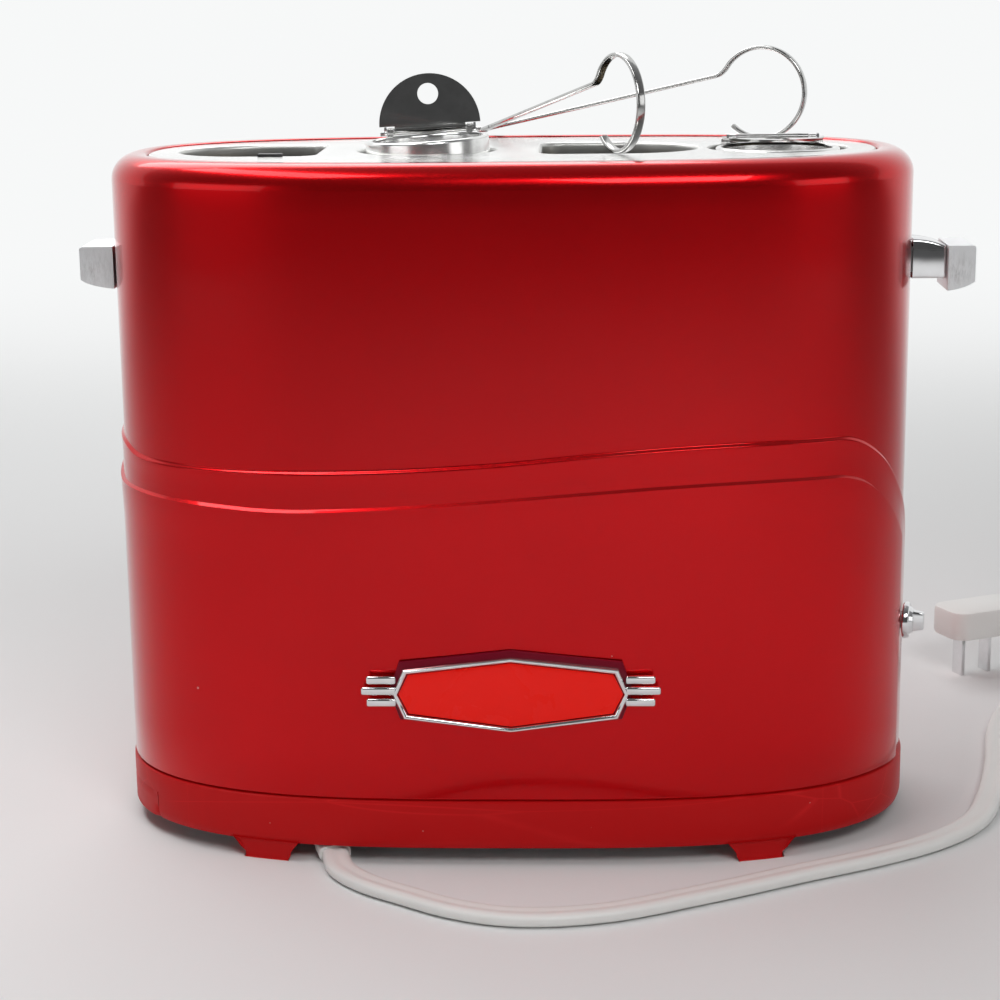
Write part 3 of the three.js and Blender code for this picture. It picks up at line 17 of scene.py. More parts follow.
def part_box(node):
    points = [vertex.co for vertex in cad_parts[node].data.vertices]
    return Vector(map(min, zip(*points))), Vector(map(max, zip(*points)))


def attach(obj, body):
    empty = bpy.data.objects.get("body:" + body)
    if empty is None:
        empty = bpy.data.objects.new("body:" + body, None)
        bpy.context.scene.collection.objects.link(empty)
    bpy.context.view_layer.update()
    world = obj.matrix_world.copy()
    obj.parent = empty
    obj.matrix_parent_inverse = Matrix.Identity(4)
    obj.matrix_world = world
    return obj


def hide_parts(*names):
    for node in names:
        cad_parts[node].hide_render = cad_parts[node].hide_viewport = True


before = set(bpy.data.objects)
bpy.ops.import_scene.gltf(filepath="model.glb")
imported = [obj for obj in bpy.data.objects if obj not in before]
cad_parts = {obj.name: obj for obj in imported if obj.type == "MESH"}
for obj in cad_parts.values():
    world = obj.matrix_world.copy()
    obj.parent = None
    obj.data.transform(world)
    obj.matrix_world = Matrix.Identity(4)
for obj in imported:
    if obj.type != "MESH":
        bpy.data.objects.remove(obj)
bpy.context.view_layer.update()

bl_info = {
    "name": "Hot Dog Toaster",
    "version": (1, 0, 0),
    "blender": (4, 5, 0),
    "location": "3D View > Sidebar > Toaster",
    "description": "Builds the pieces, finishes and studio of a hot dog toaster",
    "category": "Object",
}


# Sizes and colours


def length(name, description, default):
    return FloatProperty(name=name, description=description, default=default, unit="LENGTH", precision=5)


def number(name, description, default):
    return FloatProperty(name=name, description=description, default=default, precision=4)


def count(name, description, default):
    return IntProperty(name=name, description=description, default=default, min=1)


def colour(name, description, default):
    return FloatVectorProperty(name=name, description=description, default=default, subtype="COLOR", size=3, min=0, max=1)


class ShellSizes(PropertyGroup):
    half_length: length("Half length", "Middle of the body to its left or right end", 0.1305)
    half_depth: length("Half depth", "Middle of the body to its front or back", 0.064)
    end_power: number("End fullness", "How square the plan is at its ends", 3.16)
    side_power: number("Side fullness", "How square the plan is at its sides", 2.34)
    rim_height: length("Rim height", "Crest of the rolled rim", 0.2246)
    rim_radius: length("Rim radius", "Radius of the rolled rim", 0.008)
    sheet: length("Sheet", "Thickness of the shell", 0.0008)
    seam_height: length("Seam height", "Lower edge of the shell", 0.0225)
    band_rise: length("Band rise", "How far the swoop band stands out", 0.0007)
    band_lip: length("Band lip", "Extra rise along the band's edge", 0.0002)
    band_fade: length("Band fade", "Width over which the band's lip fades", 0.006)
    panel_rise: length("Panel rise", "How far the lower panel stands out", 0.0013)
    panel_lip: length("Panel lip", "Extra rise along the panel's edge", 0.0004)
    panel_fade: length("Panel fade", "Width over which the panel's lip fades", 0.017)
    step_width: length("Step width", "Width of the chamfered steps", 0.0008)
    band_end: length("Band end", "Half width of the plain stretch on the right end", 0.0106)
    panel_end: length("Panel end", "Half width between the panel's ends on the right end", 0.0236)
    ledge_drop: length("Ledge drop", "Depth of the ledge that carries the deck", 0.0023)
    ledge_inset: length("Ledge inset", "Where the ledge begins, inside the body's outline", 0.0116)
    columns: count("Columns", "Columns of faces along the front", 150)


class DeckSizes(PropertyGroup):
    inset: length("Inset", "Gap from the body's outline to the deck's edge", 0.012)
    top: length("Top", "Height of the deck's face", 0.2241)
    sheet: length("Sheet", "Thickness of the deck", 0.0011)
    lip: length("Lip", "Depth of the turned lips", 0.0048)
    turn: length("Turn", "Radius of the turned lips", 0.0012)
    slot_half_width: length("Opening half width", "Half width of a bun opening", 0.0235)
    slot_y: length("Opening middle", "How far the bun openings lie behind the middle", 0.003)
    slot_corner: length("Opening corner", "Radius of the square corners", 0.006)
    left_flat: length("Left flat", "Straight side of the left bun opening", -0.063)
    left_tip: length("Left tip", "Round end of the left bun opening", -0.109)
    right_flat: length("Right flat", "Straight side of the right bun opening", 0.01)
    right_tip: length("Right tip", "Round end of the right bun opening", 0.061)
    cage_hole: length("Cage hole", "Radius of the round holes", 0.0223)
    clip_x: length("Clip place", "Where the dark clip sits along the left opening", -0.0765)


class CageSizes(PropertyGroup):
    first_x: length("First cage", "Place of the raised cage along the body", -0.0275)
    second_x: length("Second cage", "Place of the flush cage along the body", 0.087)
    radius: length("Collar radius", "Outside of the collar", 0.02025)
    wall: length("Collar wall", "Thickness of the collar", 0.0026)
    height: length("Collar height", "Height of the collar", 0.0088)
    first_rise: length("First rise", "How far the first collar stands above the deck", 0.004)
    second_rise: length("Second rise", "How far the second collar stands above the deck", 0.0002)
    tilt: FloatProperty(name="Tilt", description="Lean of the first cage", default=math.radians(3), subtype="ANGLE")
    basket: length("Basket length", "Length of the basket below the collar", 0.124)
    strip: length("Strip width", "Width of the basket's strips", 0.005)
    flap_radius: length("Flap radius", "Half width of a flap", 0.017)
    flap_height: length("Flap height", "Hinge to the top of a flap", 0.0183)
    flap_shoulder: length("Flap shoulder", "Hinge to the flap's shoulders", 0.00142)
    flap_neck: length("Flap neck", "Half width of the flap at its hinge", 0.0119)
    flap_sheet: length("Flap sheet", "Thickness of a flap", 0.0008)
    hole_radius: length("Finger hole radius", "Radius of the hole in a flap", 0.0035)
    hole_height: length("Finger hole height", "Hinge to the middle of the hole", 0.0116)
    hinge_y: length("Hinge place", "Middle of the cage to its hinge", 0.019)
    hinge_rise: length("Hinge rise", "Top of the collar to the hinge", 0.0016)
    barrel: length("Barrel radius", "Radius of the hinge barrel", 0.00115)
    barrel_bore: length("Barrel bore", "Radius of the hole through the barrel", 0.00088)


class BaseSizes(PropertyGroup):
    rise: length("Skirt rise", "How far the base stands out past the plain shell", 0.0017)
    wall: length("Skirt wall", "Thickness of the moulding", 0.0026)
    top: length("Skirt top", "Upper edge of the base", 0.0222)
    bottom: length("Skirt bottom", "Lower edge of the base", 0.006)
    tuck: length("Tuck", "How far the lower edge turns in", 0.0006)
    foot_x: length("Foot place", "Middle of the body to a foot", 0.0805)
    foot_top: length("Foot top", "Width of a foot where it leaves the skirt", 0.022)
    foot_bottom: length("Foot bottom", "Width of a foot on the worktop", 0.014)
    foot_depth: length("Foot depth", "Depth of a foot", 0.009)
    tray_front: length("Tray front", "Half width of the tray's front", 0.038)
    tray_top: length("Tray top", "Upper edge of the tray's front", 0.015)
    tray_half_width: length("Tray half width", "Half width of the pan", 0.035)
    tray_right: length("Tray end", "Far end of the pan", 0.104)
    tray_floor: length("Tray floor", "Underside of the pan", 0.0085)
    tray_wall: length("Tray wall", "Height of the pan's walls", 0.0045)


class HandleSizes(PropertyGroup):
    left_reach: length("Left reach", "Middle of the body to the left grip's end", 0.1418)
    left_bottom: length("Left bottom", "Underside of the left grip", 0.1805)
    left_top: length("Left top", "Top of the left grip", 0.1943)
    arm_reach: length("Arm reach", "Middle of the body to the lever arm's end", 0.142)
    arm_bottom: length("Arm bottom", "Underside of the lever arm", 0.1815)
    arm_top: length("Arm top", "Top of the lever arm at the body", 0.1945)
    arm_half_width: length("Arm half width", "Half width of the lever arm", 0.007)
    cap_length: length("Cap length", "Length of the lever's cap", 0.0088)
    cap_bottom: length("Cap bottom", "Underside of the cap", 0.178)
    cap_top: length("Cap top", "Top of the cap", 0.1927)
    half_width: length("Grip half width", "Half width of both grips", 0.011)
    tuck: length("Tuck", "How far the undersides rise outwards", 0.003)
    edge: length("Edge", "Rounding of the grips' edges", 0.0009)


class DialSizes(PropertyGroup):
    y: length("Dial place", "Middle of the body to the dial", 0.017)
    height: length("Dial height", "Worktop to the dial's axis", 0.0685)
    seat: length("Seat", "Gap from the plain wall to the dial's back", 0.0019)
    radius: length("Radius", "Radius of the dial", 0.0061)
    thickness: length("Thickness", "Thickness of the dial's rim", 0.0028)
    dome: length("Dome", "Rise of the dial's dome", 0.0006)
    grip_reach: length("Grip reach", "How far the grip stands above the rim", 0.004)
    grip_height: length("Grip height", "Length of the grip at its foot", 0.007)
    grip_tip: length("Grip tip", "Length of the grip at its tip", 0.0058)
    grip_width: length("Grip width", "Thickness of the grip", 0.003)
    facets: count("Facets", "Facets round the dial", 16)


class BadgeSizes(PropertyGroup):
    half_width: length("Half width", "Middle to the pointed ends", 0.0373)
    shoulder: length("Shoulder", "Middle to the shoulders", 0.034)
    top: length("Top", "Height of the upper point", 0.071)
    top_shoulder: length("Top shoulder", "Height of the upper shoulders", 0.0672)
    tip: length("Tip height", "Height of the pointed ends", 0.059)
    bottom_shoulder: length("Bottom shoulder", "Height of the lower shoulders", 0.0508)
    bottom: length("Bottom", "Height of the lower point", 0.0464)
    rim: length("Rim", "Width of the bright frame", 0.0015)
    backing_grow: length("Backing", "How far the backing shows past the frame", 0.0013)
    backing: length("Backing thickness", "Thickness of the backing", 0.0009)
    frame_thickness: length("Frame thickness", "Thickness of the frame", 0.0016)
    enamel: length("Enamel thickness", "Thickness of the enamel", 0.001)
    bar: length("Bar height", "Height of the side bars", 0.0027)
    backing_shift: length("Backing shift", "How far the backing sits above the frame", 0.0008)


class TongSizes(PropertyGroup):
    bend_x: length("Bend place", "Place of the bend along the body", -0.012)
    bend_y: length("Bend depth", "Place of the bend behind the middle", 0.07)
    bend_z: length("Bend height", "Height of the bend", 0.2255)
    arm: length("Arm", "Bend to the middle of a loop", 0.1045)
    loop_radius: length("Loop radius", "Radius of a finger loop", 0.015)
    width: length("Width", "Width of the strip", 0.0028)
    thickness: length("Thickness", "Thickness of the strip", 0.0013)
    shoulder: length("Shoulder", "Length of the bend between an arm and its loop", 0.0028)
    heel: length("Heel", "Length of the bow that carries the near arm", 0.0081)
    gap: length("Gap", "Gap at the heel", 0.0004)
    far: FloatProperty(name="Far arm", description="Direction of the far arm", default=math.radians(-23.3), subtype="ANGLE")
    near: FloatProperty(name="Near arm", description="Direction of the near arm", default=math.radians(-63.5), subtype="ANGLE")


class CordSizes(PropertyGroup):
    width: length("Width", "Width of the flat cord", 0.0088)
    thickness: length("Thickness", "Thickness of the flat cord", 0.0045)
    groove: length("Groove", "Depth of the groove between the two cores", 0.0011)
    gland: length("Gland", "Length of the strain relief", 0.018)
    plug_x: length("Plug place", "Place of the plug along the body", 0.1824)
    plug_y: length("Plug depth", "Place of the plug behind the middle", 0.14)
    plug_turn: FloatProperty(name="Plug turn", description="Direction of the plug", default=math.radians(25.5), subtype="ANGLE")


class Finishes(PropertyGroup):
    lacquer: colour("Lacquer", "Red metallic lacquer of the shell", (0.6, 0.003, 0.006))
    moulding: colour("Moulding", "Red plastic of the base", (0.5, 0.006, 0.007))
    enamel: colour("Enamel", "Red enamel of the badge", (0.95, 0.01, 0.004))
    backing: colour("Backing", "Dark red of the badge's backing", (0.17, 0.001, 0.013))
    bright: colour("Bright steel", "Polished deck, cages and flaps", (0.88, 0.88, 0.87))
    plated: colour("Plating", "Bright plated trim", (0.82, 0.82, 0.83))
    steel: colour("Plain steel", "Unpolished sheet inside", (0.50, 0.50, 0.50))
    wire: colour("Wire", "Polished strip of the tongs", (0.62, 0.62, 0.61))
    white: colour("White cord", "Soft white plastic of the cord", (0.80, 0.80, 0.78))
    black: colour("Black plastic", "Dark plastic parts", (0.018, 0.018, 0.020))
    mica: colour("Mica", "Boards that carry the elements", (0.42, 0.34, 0.22))
    board: colour("Circuit board", "Green board of the latch", (0.02, 0.10, 0.04))
    floor: colour("Floor", "Pale floor and backdrop", (0.8, 0.8, 0.8))


class ToasterSettings(PropertyGroup):
    shell: PointerProperty(type=ShellSizes)
    deck: PointerProperty(type=DeckSizes)
    cages: PointerProperty(type=CageSizes)
    base: PointerProperty(type=BaseSizes)
    handles: PointerProperty(type=HandleSizes)
    dial: PointerProperty(type=DialSizes)
    badge: PointerProperty(type=BadgeSizes)
    tongs: PointerProperty(type=TongSizes)
    cord: PointerProperty(type=CordSizes)
    finishes: PointerProperty(type=Finishes)


def settings():
    return bpy.context.scene.hot_dog_toaster


# The swoop lines, as shares of the rim height by shares of the way round the front
UPPER_LINE = (
    (0, 0.601), (0.071, 0.588), (0.108, 0.577), (0.159, 0.574), (0.274, 0.575), (0.389, 0.58),
    (0.491, 0.589), (0.572, 0.6), (0.656, 0.609), (0.739, 0.612), (0.816, 0.61), (0.834, 0.608),
    (0.856, 0.596), (0.887, 0.566), (0.915, 0.525), (0.955, 0.457), (0.968, 0.4), (1, 0.4),
)
LOWER_LINE = (
    (0, 0.547), (0.055, 0.53), (0.11, 0.527), (0.215, 0.523), (0.277, 0.521), (0.334, 0.524),
    (0.447, 0.534), (0.571, 0.548), (0.654, 0.556), (0.736, 0.559), (0.812, 0.557), (0.829, 0.5545),
    (0.854, 0.542), (0.88, 0.515), (0.91, 0.472), (0.938, 0.42), (0.955, 0.39), (0.968, 0.345), (1, 0.345),
)
# The cord's route, in millimetres about the middle of the body, from the gland to the plug
CORD_ROUTE = (
    (-57.6, -61.6, 2.9), (-54.5, -73, 2.45), (-46, -84, 2.4), (-34, -93, 2.4), (-15, -105, 2.4), (3, -110, 2.4),
    (28, -107, 2.4), (59, -93, 2.4), (91, -76, 2.4), (118, -62, 2.4), (139, -48, 2.4), (154, -31, 2.4),
    (163, -8, 2.4), (171, 22, 2.4), (180, 64, 2.4), (191, 90, 2.4), (209, 106, 2.4), (233, 111, 2.4),
    (262, 109, 2.4), (290, 114, 2.4), (311, 132, 2.4), (319, 158, 2.4), (309, 182, 2.4), (288, 192, 2.6),
    (268, 183, 7), (250.1, 172.3, 15), (234.8, 164.9, 20.5), (222.8, 159.25, 21.5),
)


def body_middle():
    low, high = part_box("top_plate")
    return Vector(((low.x + high.x) / 2, (low.y + high.y) / 2, 0))


# Meshes


def make_piece(name, bm, finishes, body, replaces=(), sharp=35, placed=True):
    """Closes a bmesh into a finished piece that rides on a body."""
    bmesh.ops.remove_doubles(bm, verts=bm.verts, dist=2e-6)
    bmesh.ops.recalc_face_normals(bm, faces=bm.faces)
    for face in bm.faces:
        face.smooth = True
    for edge in bm.edges:
        if len(edge.link_faces) == 2:
            edge.smooth = edge.calc_face_angle(0) < math.radians(sharp)
    mesh = bpy.data.meshes.new(name)
    bm.to_mesh(mesh)
    bm.free()
    if placed:
        mesh.transform(Matrix.Translation(body_middle()))
    for finish in finishes if isinstance(finishes, (list, tuple)) else [finishes]:
        mesh.materials.append(finish)
    piece = bpy.data.objects.new(name, mesh)
    bpy.context.scene.collection.objects.link(piece)
    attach(piece, body)
    if replaces:
        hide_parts(*replaces)
    return piece


def first_ring(bm, places):
    """A closed loop of vertices, each with its own column number."""
    number_layer = bm.verts.layers.int.get("column") or bm.verts.layers.int.new("column")
    ring = bmesh.ops.create_circle(bm, segments=len(places), radius=0.01)["verts"]
    for k, (vert, place) in enumerate(zip(ring, places)):
        vert.co = place
        vert[number_layer] = k
    return list({edge for vert in ring for edge in vert.link_edges})


def next_ring(bm, edges, places):
    """Extrudes a loop to new places."""
    number_layer = bm.verts.layers.int["column"]
    made = bmesh.ops.extrude_edge_only(bm, edges=edges)["geom"]
    verts = {item for item in made if isinstance(item, bmesh.types.BMVert)}
    for vert in verts:
        vert.co = places[vert[number_layer]]
    return [item for item in made if isinstance(item, bmesh.types.BMEdge) and set(item.verts) <= verts]


def sweep(bm, rings, closed=False, caps=False):
    """A skin over rings of places. It closes on its first ring, or is capped at both ends."""
    first = first_ring(bm, rings[0])
    edges = first
    for places in rings[1:] + ([rings[0]] if closed else []):
        edges = next_ring(bm, edges, places)
    if caps:
        for loop in (first, edges):
            bmesh.ops.edgeloop_fill(bm, edges=loop)
    return first, edges


def prism(bm, outline, low, high, place):
    """An outline between two levels. place turns (u, v, level) into a point."""
    rings = [[place(u, v, level) for u, v in outline] for level in (low, high)]
    return sweep(bm, rings, caps=True)


def round_edges(bm, edges, size, segments=3):
    bmesh.ops.bevel(
        bm, geom=list(edges), offset=size, segments=segments, profile=0.5, affect="EDGES", material=-1,
        clamp_overlap=True)


def block(bm, low, high, edge=0.0, segments=2):
    """A box between two corners with rounded edges."""
    low, high = Vector(low), Vector(high)
    made = bmesh.ops.create_cube(bm, size=1)["verts"]
    middle = (low + high) / 2
    size = high - low
    for vert in made:
        vert.co = middle + Vector(vert.co[i] * size[i] for i in range(3))
    if edge:
        round_edges(bm, {e for v in made for e in v.link_edges}, edge, segments)


def spun(bm, profile, segments=48, matrix=None):
    """A turned form about the Z axis, from radius and height pairs."""
    verts = [bm.verts.new((radius, 0, height)) for radius, height in profile]
    edges = [bm.edges.new(pair) for pair in zip(verts, verts[1:])]
    before = set(bm.verts) - set(verts)
    bmesh.ops.spin(
        bm, geom=verts + edges, cent=(0, 0, 0), axis=(0, 0, 1), angle=2 * math.pi, steps=segments,
        use_merge=True)
    made = [vert for vert in bm.verts if vert not in before]
    if matrix is not None:
        bmesh.ops.transform(bm, matrix=matrix, verts=made)
    return made


def arc(centre, radius, start, end, steps):
    """Points along an arc, in degrees, its two ends included."""
    points = []
    for k in range(steps + 1):
        angle = math.radians(start + (end - start) * k / steps)
        points.append((centre[0] + radius * math.cos(angle), centre[1] + radius * math.sin(angle)))
    return points


def frame_matrix(origin, forward, up=(0, 0, 1)):
    """Turns local +Z to forward, with local +Y as near to up as it can be."""
    z = Vector(forward).normalized()
    x = Vector(up).cross(z).normalized()
    y = z.cross(x)
    turn = Matrix((x, y, z)).transposed().to_4x4()
    return Matrix.Translation(Vector(origin)) @ turn


def cut_away(piece, cutter_bm, operation="DIFFERENCE"):
    """Cuts a finished piece with a throwaway solid, and marks the new edges."""
    bmesh.ops.recalc_face_normals(cutter_bm, faces=cutter_bm.faces)
    mesh = bpy.data.meshes.new("cutter")
    cutter_bm.to_mesh(mesh)
    cutter_bm.free()
    mesh.transform(Matrix.Translation(body_middle()))
    cutter = bpy.data.objects.new("cutter", mesh)
    bpy.context.scene.collection.objects.link(cutter)
    modifier = piece.modifiers.new("cut", "BOOLEAN")
    modifier.operation = operation
    modifier.solver = "EXACT"
    modifier.object = cutter
    bpy.context.view_layer.update()
    graph = bpy.context.evaluated_depsgraph_get()
    result = bpy.data.meshes.new_from_object(piece.evaluated_get(graph))
    piece.modifiers.clear()
    old = piece.data
    piece.data = result
    result.name = old.name
    bpy.data.meshes.remove(old)
    bpy.data.objects.remove(cutter)
    bpy.data.meshes.remove(mesh)
    bm = bmesh.new()
    bm.from_mesh(result)
    for edge in bm.edges:
        if len(edge.link_faces) == 2:
            edge.smooth = edge.calc_face_angle(0) < math.radians(35)
    bm.to_mesh(result)
    bm.free()


# The plan of the body


def plan_point(angle, offset):
    s = settings().shell
    c = math.cos(angle)
    n = math.sin(angle)
    x = (s.half_length + offset) * math.copysign(abs(c) ** (2 / s.end_power), c)
    y = (s.half_depth + offset) * math.copysign(abs(n) ** (2 / s.side_power), n)
    return x, y


def depth_at(x, offset):
    """How far the outline lies from the middle plane at one place along the body."""
    s = settings().shell
    share = min(1, abs(x) / (s.half_length + offset))
    return (s.half_depth + offset) * (1 - share**s.end_power) ** (1 / s.side_power)


def reach_at(y, offset):
    """How far the outline lies from the middle across the body."""
    s = settings().shell
    share = min(1, abs(y) / (s.half_depth + offset))
    return (s.half_length + offset) * (1 - share**s.side_power) ** (1 / s.end_power)


def measured_front():
    """Angles, lengths and places along the front half of the outline."""
    steps = 4000
    angles, lengths, places = [], [], []
    total = 0.0
    before = Vector(plan_point(math.pi, 0))
    for k in range(steps + 1):
        angle = math.pi * (1 + k / steps)
        place = Vector(plan_point(angle, 0))
        total += (place - before).length
        before = place
        angles.append(angle)
        lengths.append(total)
        places.append(place)
    return angles, lengths, places


def follow(table, share):
    """A smooth value at a share, through the points of a table."""
    last = len(table) - 1
    i = 0
    while i < last - 1 and share > table[i + 1][0]:
        i += 1

    def slope(k):
        before, after = table[max(k - 1, 0)], table[min(k + 1, last)]
        return (after[1] - before[1]) / (after[0] - before[0])

    width = table[i + 1][0] - table[i][0]
    t = (share - table[i][0]) / width
    start = table[i][1] * (1 + 2 * t) * (1 - t) ** 2 + slope(i) * width * t * (1 - t) ** 2
    end = table[i + 1][1] * t**2 * (3 - 2 * t) + slope(i + 1) * width * t**2 * (t - 1)
    return start + end


def eased(value):
    value = min(1, max(0, value))
    return value * value * (3 - 2 * value)


class Outline:
    """The columns of points that the skins of the body are laid on, once round from the left end."""

    def __init__(self, spacing_count, fine=True):
        s = settings().shell
        self.angles, self.lengths, self.places = measured_front()
        self.total = self.lengths[-1]
        shares = {k / spacing_count for k in range(spacing_count + 1)}
        self.band_end = self.share_of(s.band_end)
        self.panel_end = self.share_of(s.panel_end)
        if fine:
            for end in (self.band_end, self.panel_end):
                shares = {share for share in shares if abs(share - end) * self.total > 0.0016}
                for k in range(-5, 6):
                    shares.add(end + k * 0.0003 / self.total)
        self.columns = [(share, self.angle_of(share), 1) for share in sorted(shares)]
        self.columns += [(share, angle, -1) for share, angle, _ in self.columns[-2:0:-1]]

    def share_of(self, half_width):
        for length_here, place in zip(self.lengths, self.places):
            if place.x > 0 and abs(place.y) < half_width:
                return length_here / self.total
        return 1.0

    def angle_of(self, share):
        index = min(bisect_left(self.lengths, share * self.total - 1e-9), len(self.angles) - 1)
        return self.angles[index]

    def point(self, column, offset, height):
        x, y = plan_point(column[1], offset)
        return Vector((x, y * column[2], height))

    def ring(self, offset, height):
        return [self.point(column, offset, height) for column in self.columns]


class Swoops:
    """Where the two swoop lines run and how far the wall stands out round them."""

    def __init__(self, outline):
        self.outline = outline
        self.rows = [self.lines_at(column[0]) for column in outline.columns]

    def lines_at(self, share):
        s = settings().shell
        rise = s.rim_height
        small = 0.004
        low, high = max(0, share - small), min(1, share + small)
        found = []
        for table in (UPPER_LINE, LOWER_LINE):
            slope = (follow(table, high) - follow(table, low)) * rise / ((high - low) * self.outline.total)
            found.append((follow(table, share) * rise, min(2.2, math.hypot(1, slope))))
        return found

    def level(self, k, anchor, amount):
        """The height of one level at one column: an amount in metres from a line, or a share of a gap."""
        s = settings().shell
        (upper, upper_spread), (lower, lower_spread) = self.rows[k]
        rim = s.rim_height - s.rim_radius

        def off(line, spread, distance):
            near = 0.0015
            if abs(distance) <= near:
                return line + distance * spread
            return line + distance + math.copysign(near * (spread - 1), distance)

        if anchor == "seam":
            return s.seam_height + amount
        if anchor == "lower":
            return off(lower, lower_spread, amount)
        if anchor == "upper":
            return off(upper, upper_spread, amount)
        low, high = {
            "panel": (s.seam_height + 0.0008, off(lower, lower_spread, -0.018)),
            "band": (off(lower, lower_spread, 0.0018), off(upper, upper_spread, -0.006)),
            "wall": (off(upper, upper_spread, 0.0024), rim),
        }[anchor]
        return low + (high - low) * amount

    def rise(self, k, height):
        s = settings().shell
        share = self.outline.columns[k][0]
        total = self.outline.total
        (upper, upper_spread), (lower, lower_spread) = self.rows[k]
        half = s.step_width / 2
        band_side = (self.outline.band_end - share) * total
        panel_side = (self.outline.panel_end - share) * total

        def member(line, spread, side):
            below = min(1, max(0, (line + half * spread - height) / (2 * half * spread)))
            return below * eased((side + half) / (2 * half))

        def lip(distance, reach):
            return 1 - eased(distance / reach)

        band = member(upper, upper_spread, band_side)
        panel = member(lower, lower_spread, panel_side)
        band_height = s.band_rise + s.band_lip * lip(min(upper - height, band_side), s.band_fade)
        panel_height = s.panel_rise + s.panel_lip * lip(min(lower - height, panel_side), s.panel_fade)
        return band * band_height + panel * (panel_height - band * band_height)


WALL_LEVELS = (
    [("seam", 0.0), ("seam", 0.0003), ("seam", 0.0008)]
    + [("panel", share) for share in (0.2, 0.4, 0.6, 0.8, 1.0)]
    + [("lower", -mm / 1000) for mm in (14, 11, 8.5, 6.5, 5, 3.8, 2.8, 2, 1.4, 0.9, 0.6, 0.4, 0.2)]
    + [("lower", mm / 1000) for mm in (0.0, 0.2, 0.4, 0.6, 0.9, 1.3)]
    + [("band", share) for share in (0.0, 0.5, 1.0)]
    + [("upper", -mm / 1000) for mm in (4.6, 3.4, 2.4, 1.6, 1.1, 0.8, 0.5, 0.3, 0.1)]
    + [("upper", mm / 1000) for mm in (0.1, 0.3, 0.5, 0.8, 1.1, 1.6)]
    + [("wall", k / 12) for k in range(13)]
)


def shell_mesh(bm):
    s = settings().shell
    outline = Outline(s.columns)
    swoops = Swoops(outline)
    rings = []
    for anchor, amount in WALL_LEVELS:
        ring = []
        for k, column in enumerate(outline.columns):
            height = swoops.level(k, anchor, amount)
            rise = swoops.rise(k, height)
            if anchor == "seam":
                rise -= (0.0008 - amount) ** 2 / 0.0008 * 0.6
            ring.append(outline.point(column, rise, height))
        rings.append(ring)
    start = s.rim_height - s.rim_radius
    for a in range(1, 13):
        angle = math.radians(90 * a / 12)
        rings.append(outline.ring(s.rim_radius * (math.cos(angle) - 1), start + s.rim_radius * math.sin(angle)))
    inset = s.ledge_inset
    ledge = s.rim_height - s.ledge_drop
    for offset, drop in ((-0.0104, 0.00003), (-0.0109, 0.00018), (-0.0113, 0.00055), (-0.0115, 0.0011)):
        rings.append(outline.ring(offset, s.rim_height - drop))
    rings.append(outline.ring(-inset, ledge + 0.0002))
    rings.append(outline.ring(-inset - 0.0005, ledge))
    rings.append(outline.ring(-inset - 0.0044, ledge))
    rings.append(outline.ring(-inset - 0.0044, ledge - s.sheet))
    rings.append(outline.ring(-inset - 0.0004, ledge - s.sheet))
    inner = s.rim_radius - s.sheet
    for a in range(5, -1, -1):
        angle = math.radians(90 * a / 6)
        rings.append(outline.ring(inner * math.cos(angle) - s.rim_radius, start + inner * math.sin(angle)))
    rings.append(outline.ring(-s.sheet, s.rim_height / 2))
    rings.append(outline.ring(-s.sheet, s.seam_height))
    sweep(bm, rings, closed=True)


def bun_outline(flat, tip, grow):
    """A bun opening's outline: straight at one end and round at the other."""
    d = settings().deck
    way = math.copysign(1, tip - flat)
    half = d.slot_half_width + grow
    corner = max(0.0015, d.slot_corner + grow)
    edge = flat - way * grow
    centre_x = tip - way * d.slot_half_width
    corner_x = edge + way * corner
    y = d.slot_y
    points = arc((corner_x, y - half + corner), corner, 180, 270, 6)
    points += arc((centre_x, y), half, -90, 90, 30)
    points += arc((corner_x, y + half - corner), corner, 90, 180, 6)
    if way < 0:
        points = [(2 * corner_x - px, py) if abs(px - corner_x) <= corner + 1e-9 else (px, py) for px, py in points]
        left = arc((corner_x, y - half + corner), corner, 0, -90, 6)
        left += [(2 * centre_x - px, py) for px, py in arc((centre_x, y), half, -90, 90, 30)]
        left += arc((corner_x, y + half - corner), corner, 90, 0, 6)
        points = left
    return points


def round_outline(x, radius):
    return [(x + px, py) for px, py in arc((0, 0), radius, 0, 360 - 360 / 64, 63)]


def deck_openings(grow):
    d = settings().deck
    c = settings().cages
    return [
        bun_outline(d.left_flat, d.left_tip, grow),
        bun_outline(d.right_flat, d.right_tip, grow),
        round_outline(c.first_x, d.cage_hole + grow),
        round_outline(c.second_x, d.cage_hole + grow),
    ]


def deck_mesh(bm):
    d = settings().deck
    outline = Outline(96, fine=False)
    turn = d.turn
    edge = 0.0006
    flat_edges = []
    outer = first_ring(bm, outline.ring(-d.inset - edge, d.top))
    flat_edges += outer
    loop = next_ring(bm, outer, outline.ring(-d.inset - edge * 0.3, d.top - edge * 0.3))
    loop = next_ring(bm, loop, outline.ring(-d.inset, d.top - edge))
    next_ring(bm, loop, outline.ring(-d.inset, d.top - d.sheet))
    for index in range(4):
        def ring(grow, drop):
            return [Vector((x, y, d.top - drop)) for x, y in deck_openings(grow)[index]]

        loop = first_ring(bm, ring(turn, 0))
        flat_edges += loop
        for a in (22.5, 45, 67.5, 90):
            angle = math.radians(a)
            loop = next_ring(bm, loop, ring(turn * (1 - math.sin(angle)), turn * (1 - math.cos(angle))))
        next_ring(bm, loop, ring(0, d.lip))
    bmesh.ops.triangle_fill(bm, use_beauty=True, use_dissolve=False, edges=flat_edges)
    for face in bm.faces:
        face.material_index = 0 if abs(face.normal.z) > 0.95 else 1


# Nodes


def new_finish(name):
    material = bpy.data.materials.new(name)
    material.use_nodes = True
    return material, material.node_tree, material.node_tree.nodes["Principled BSDF"]


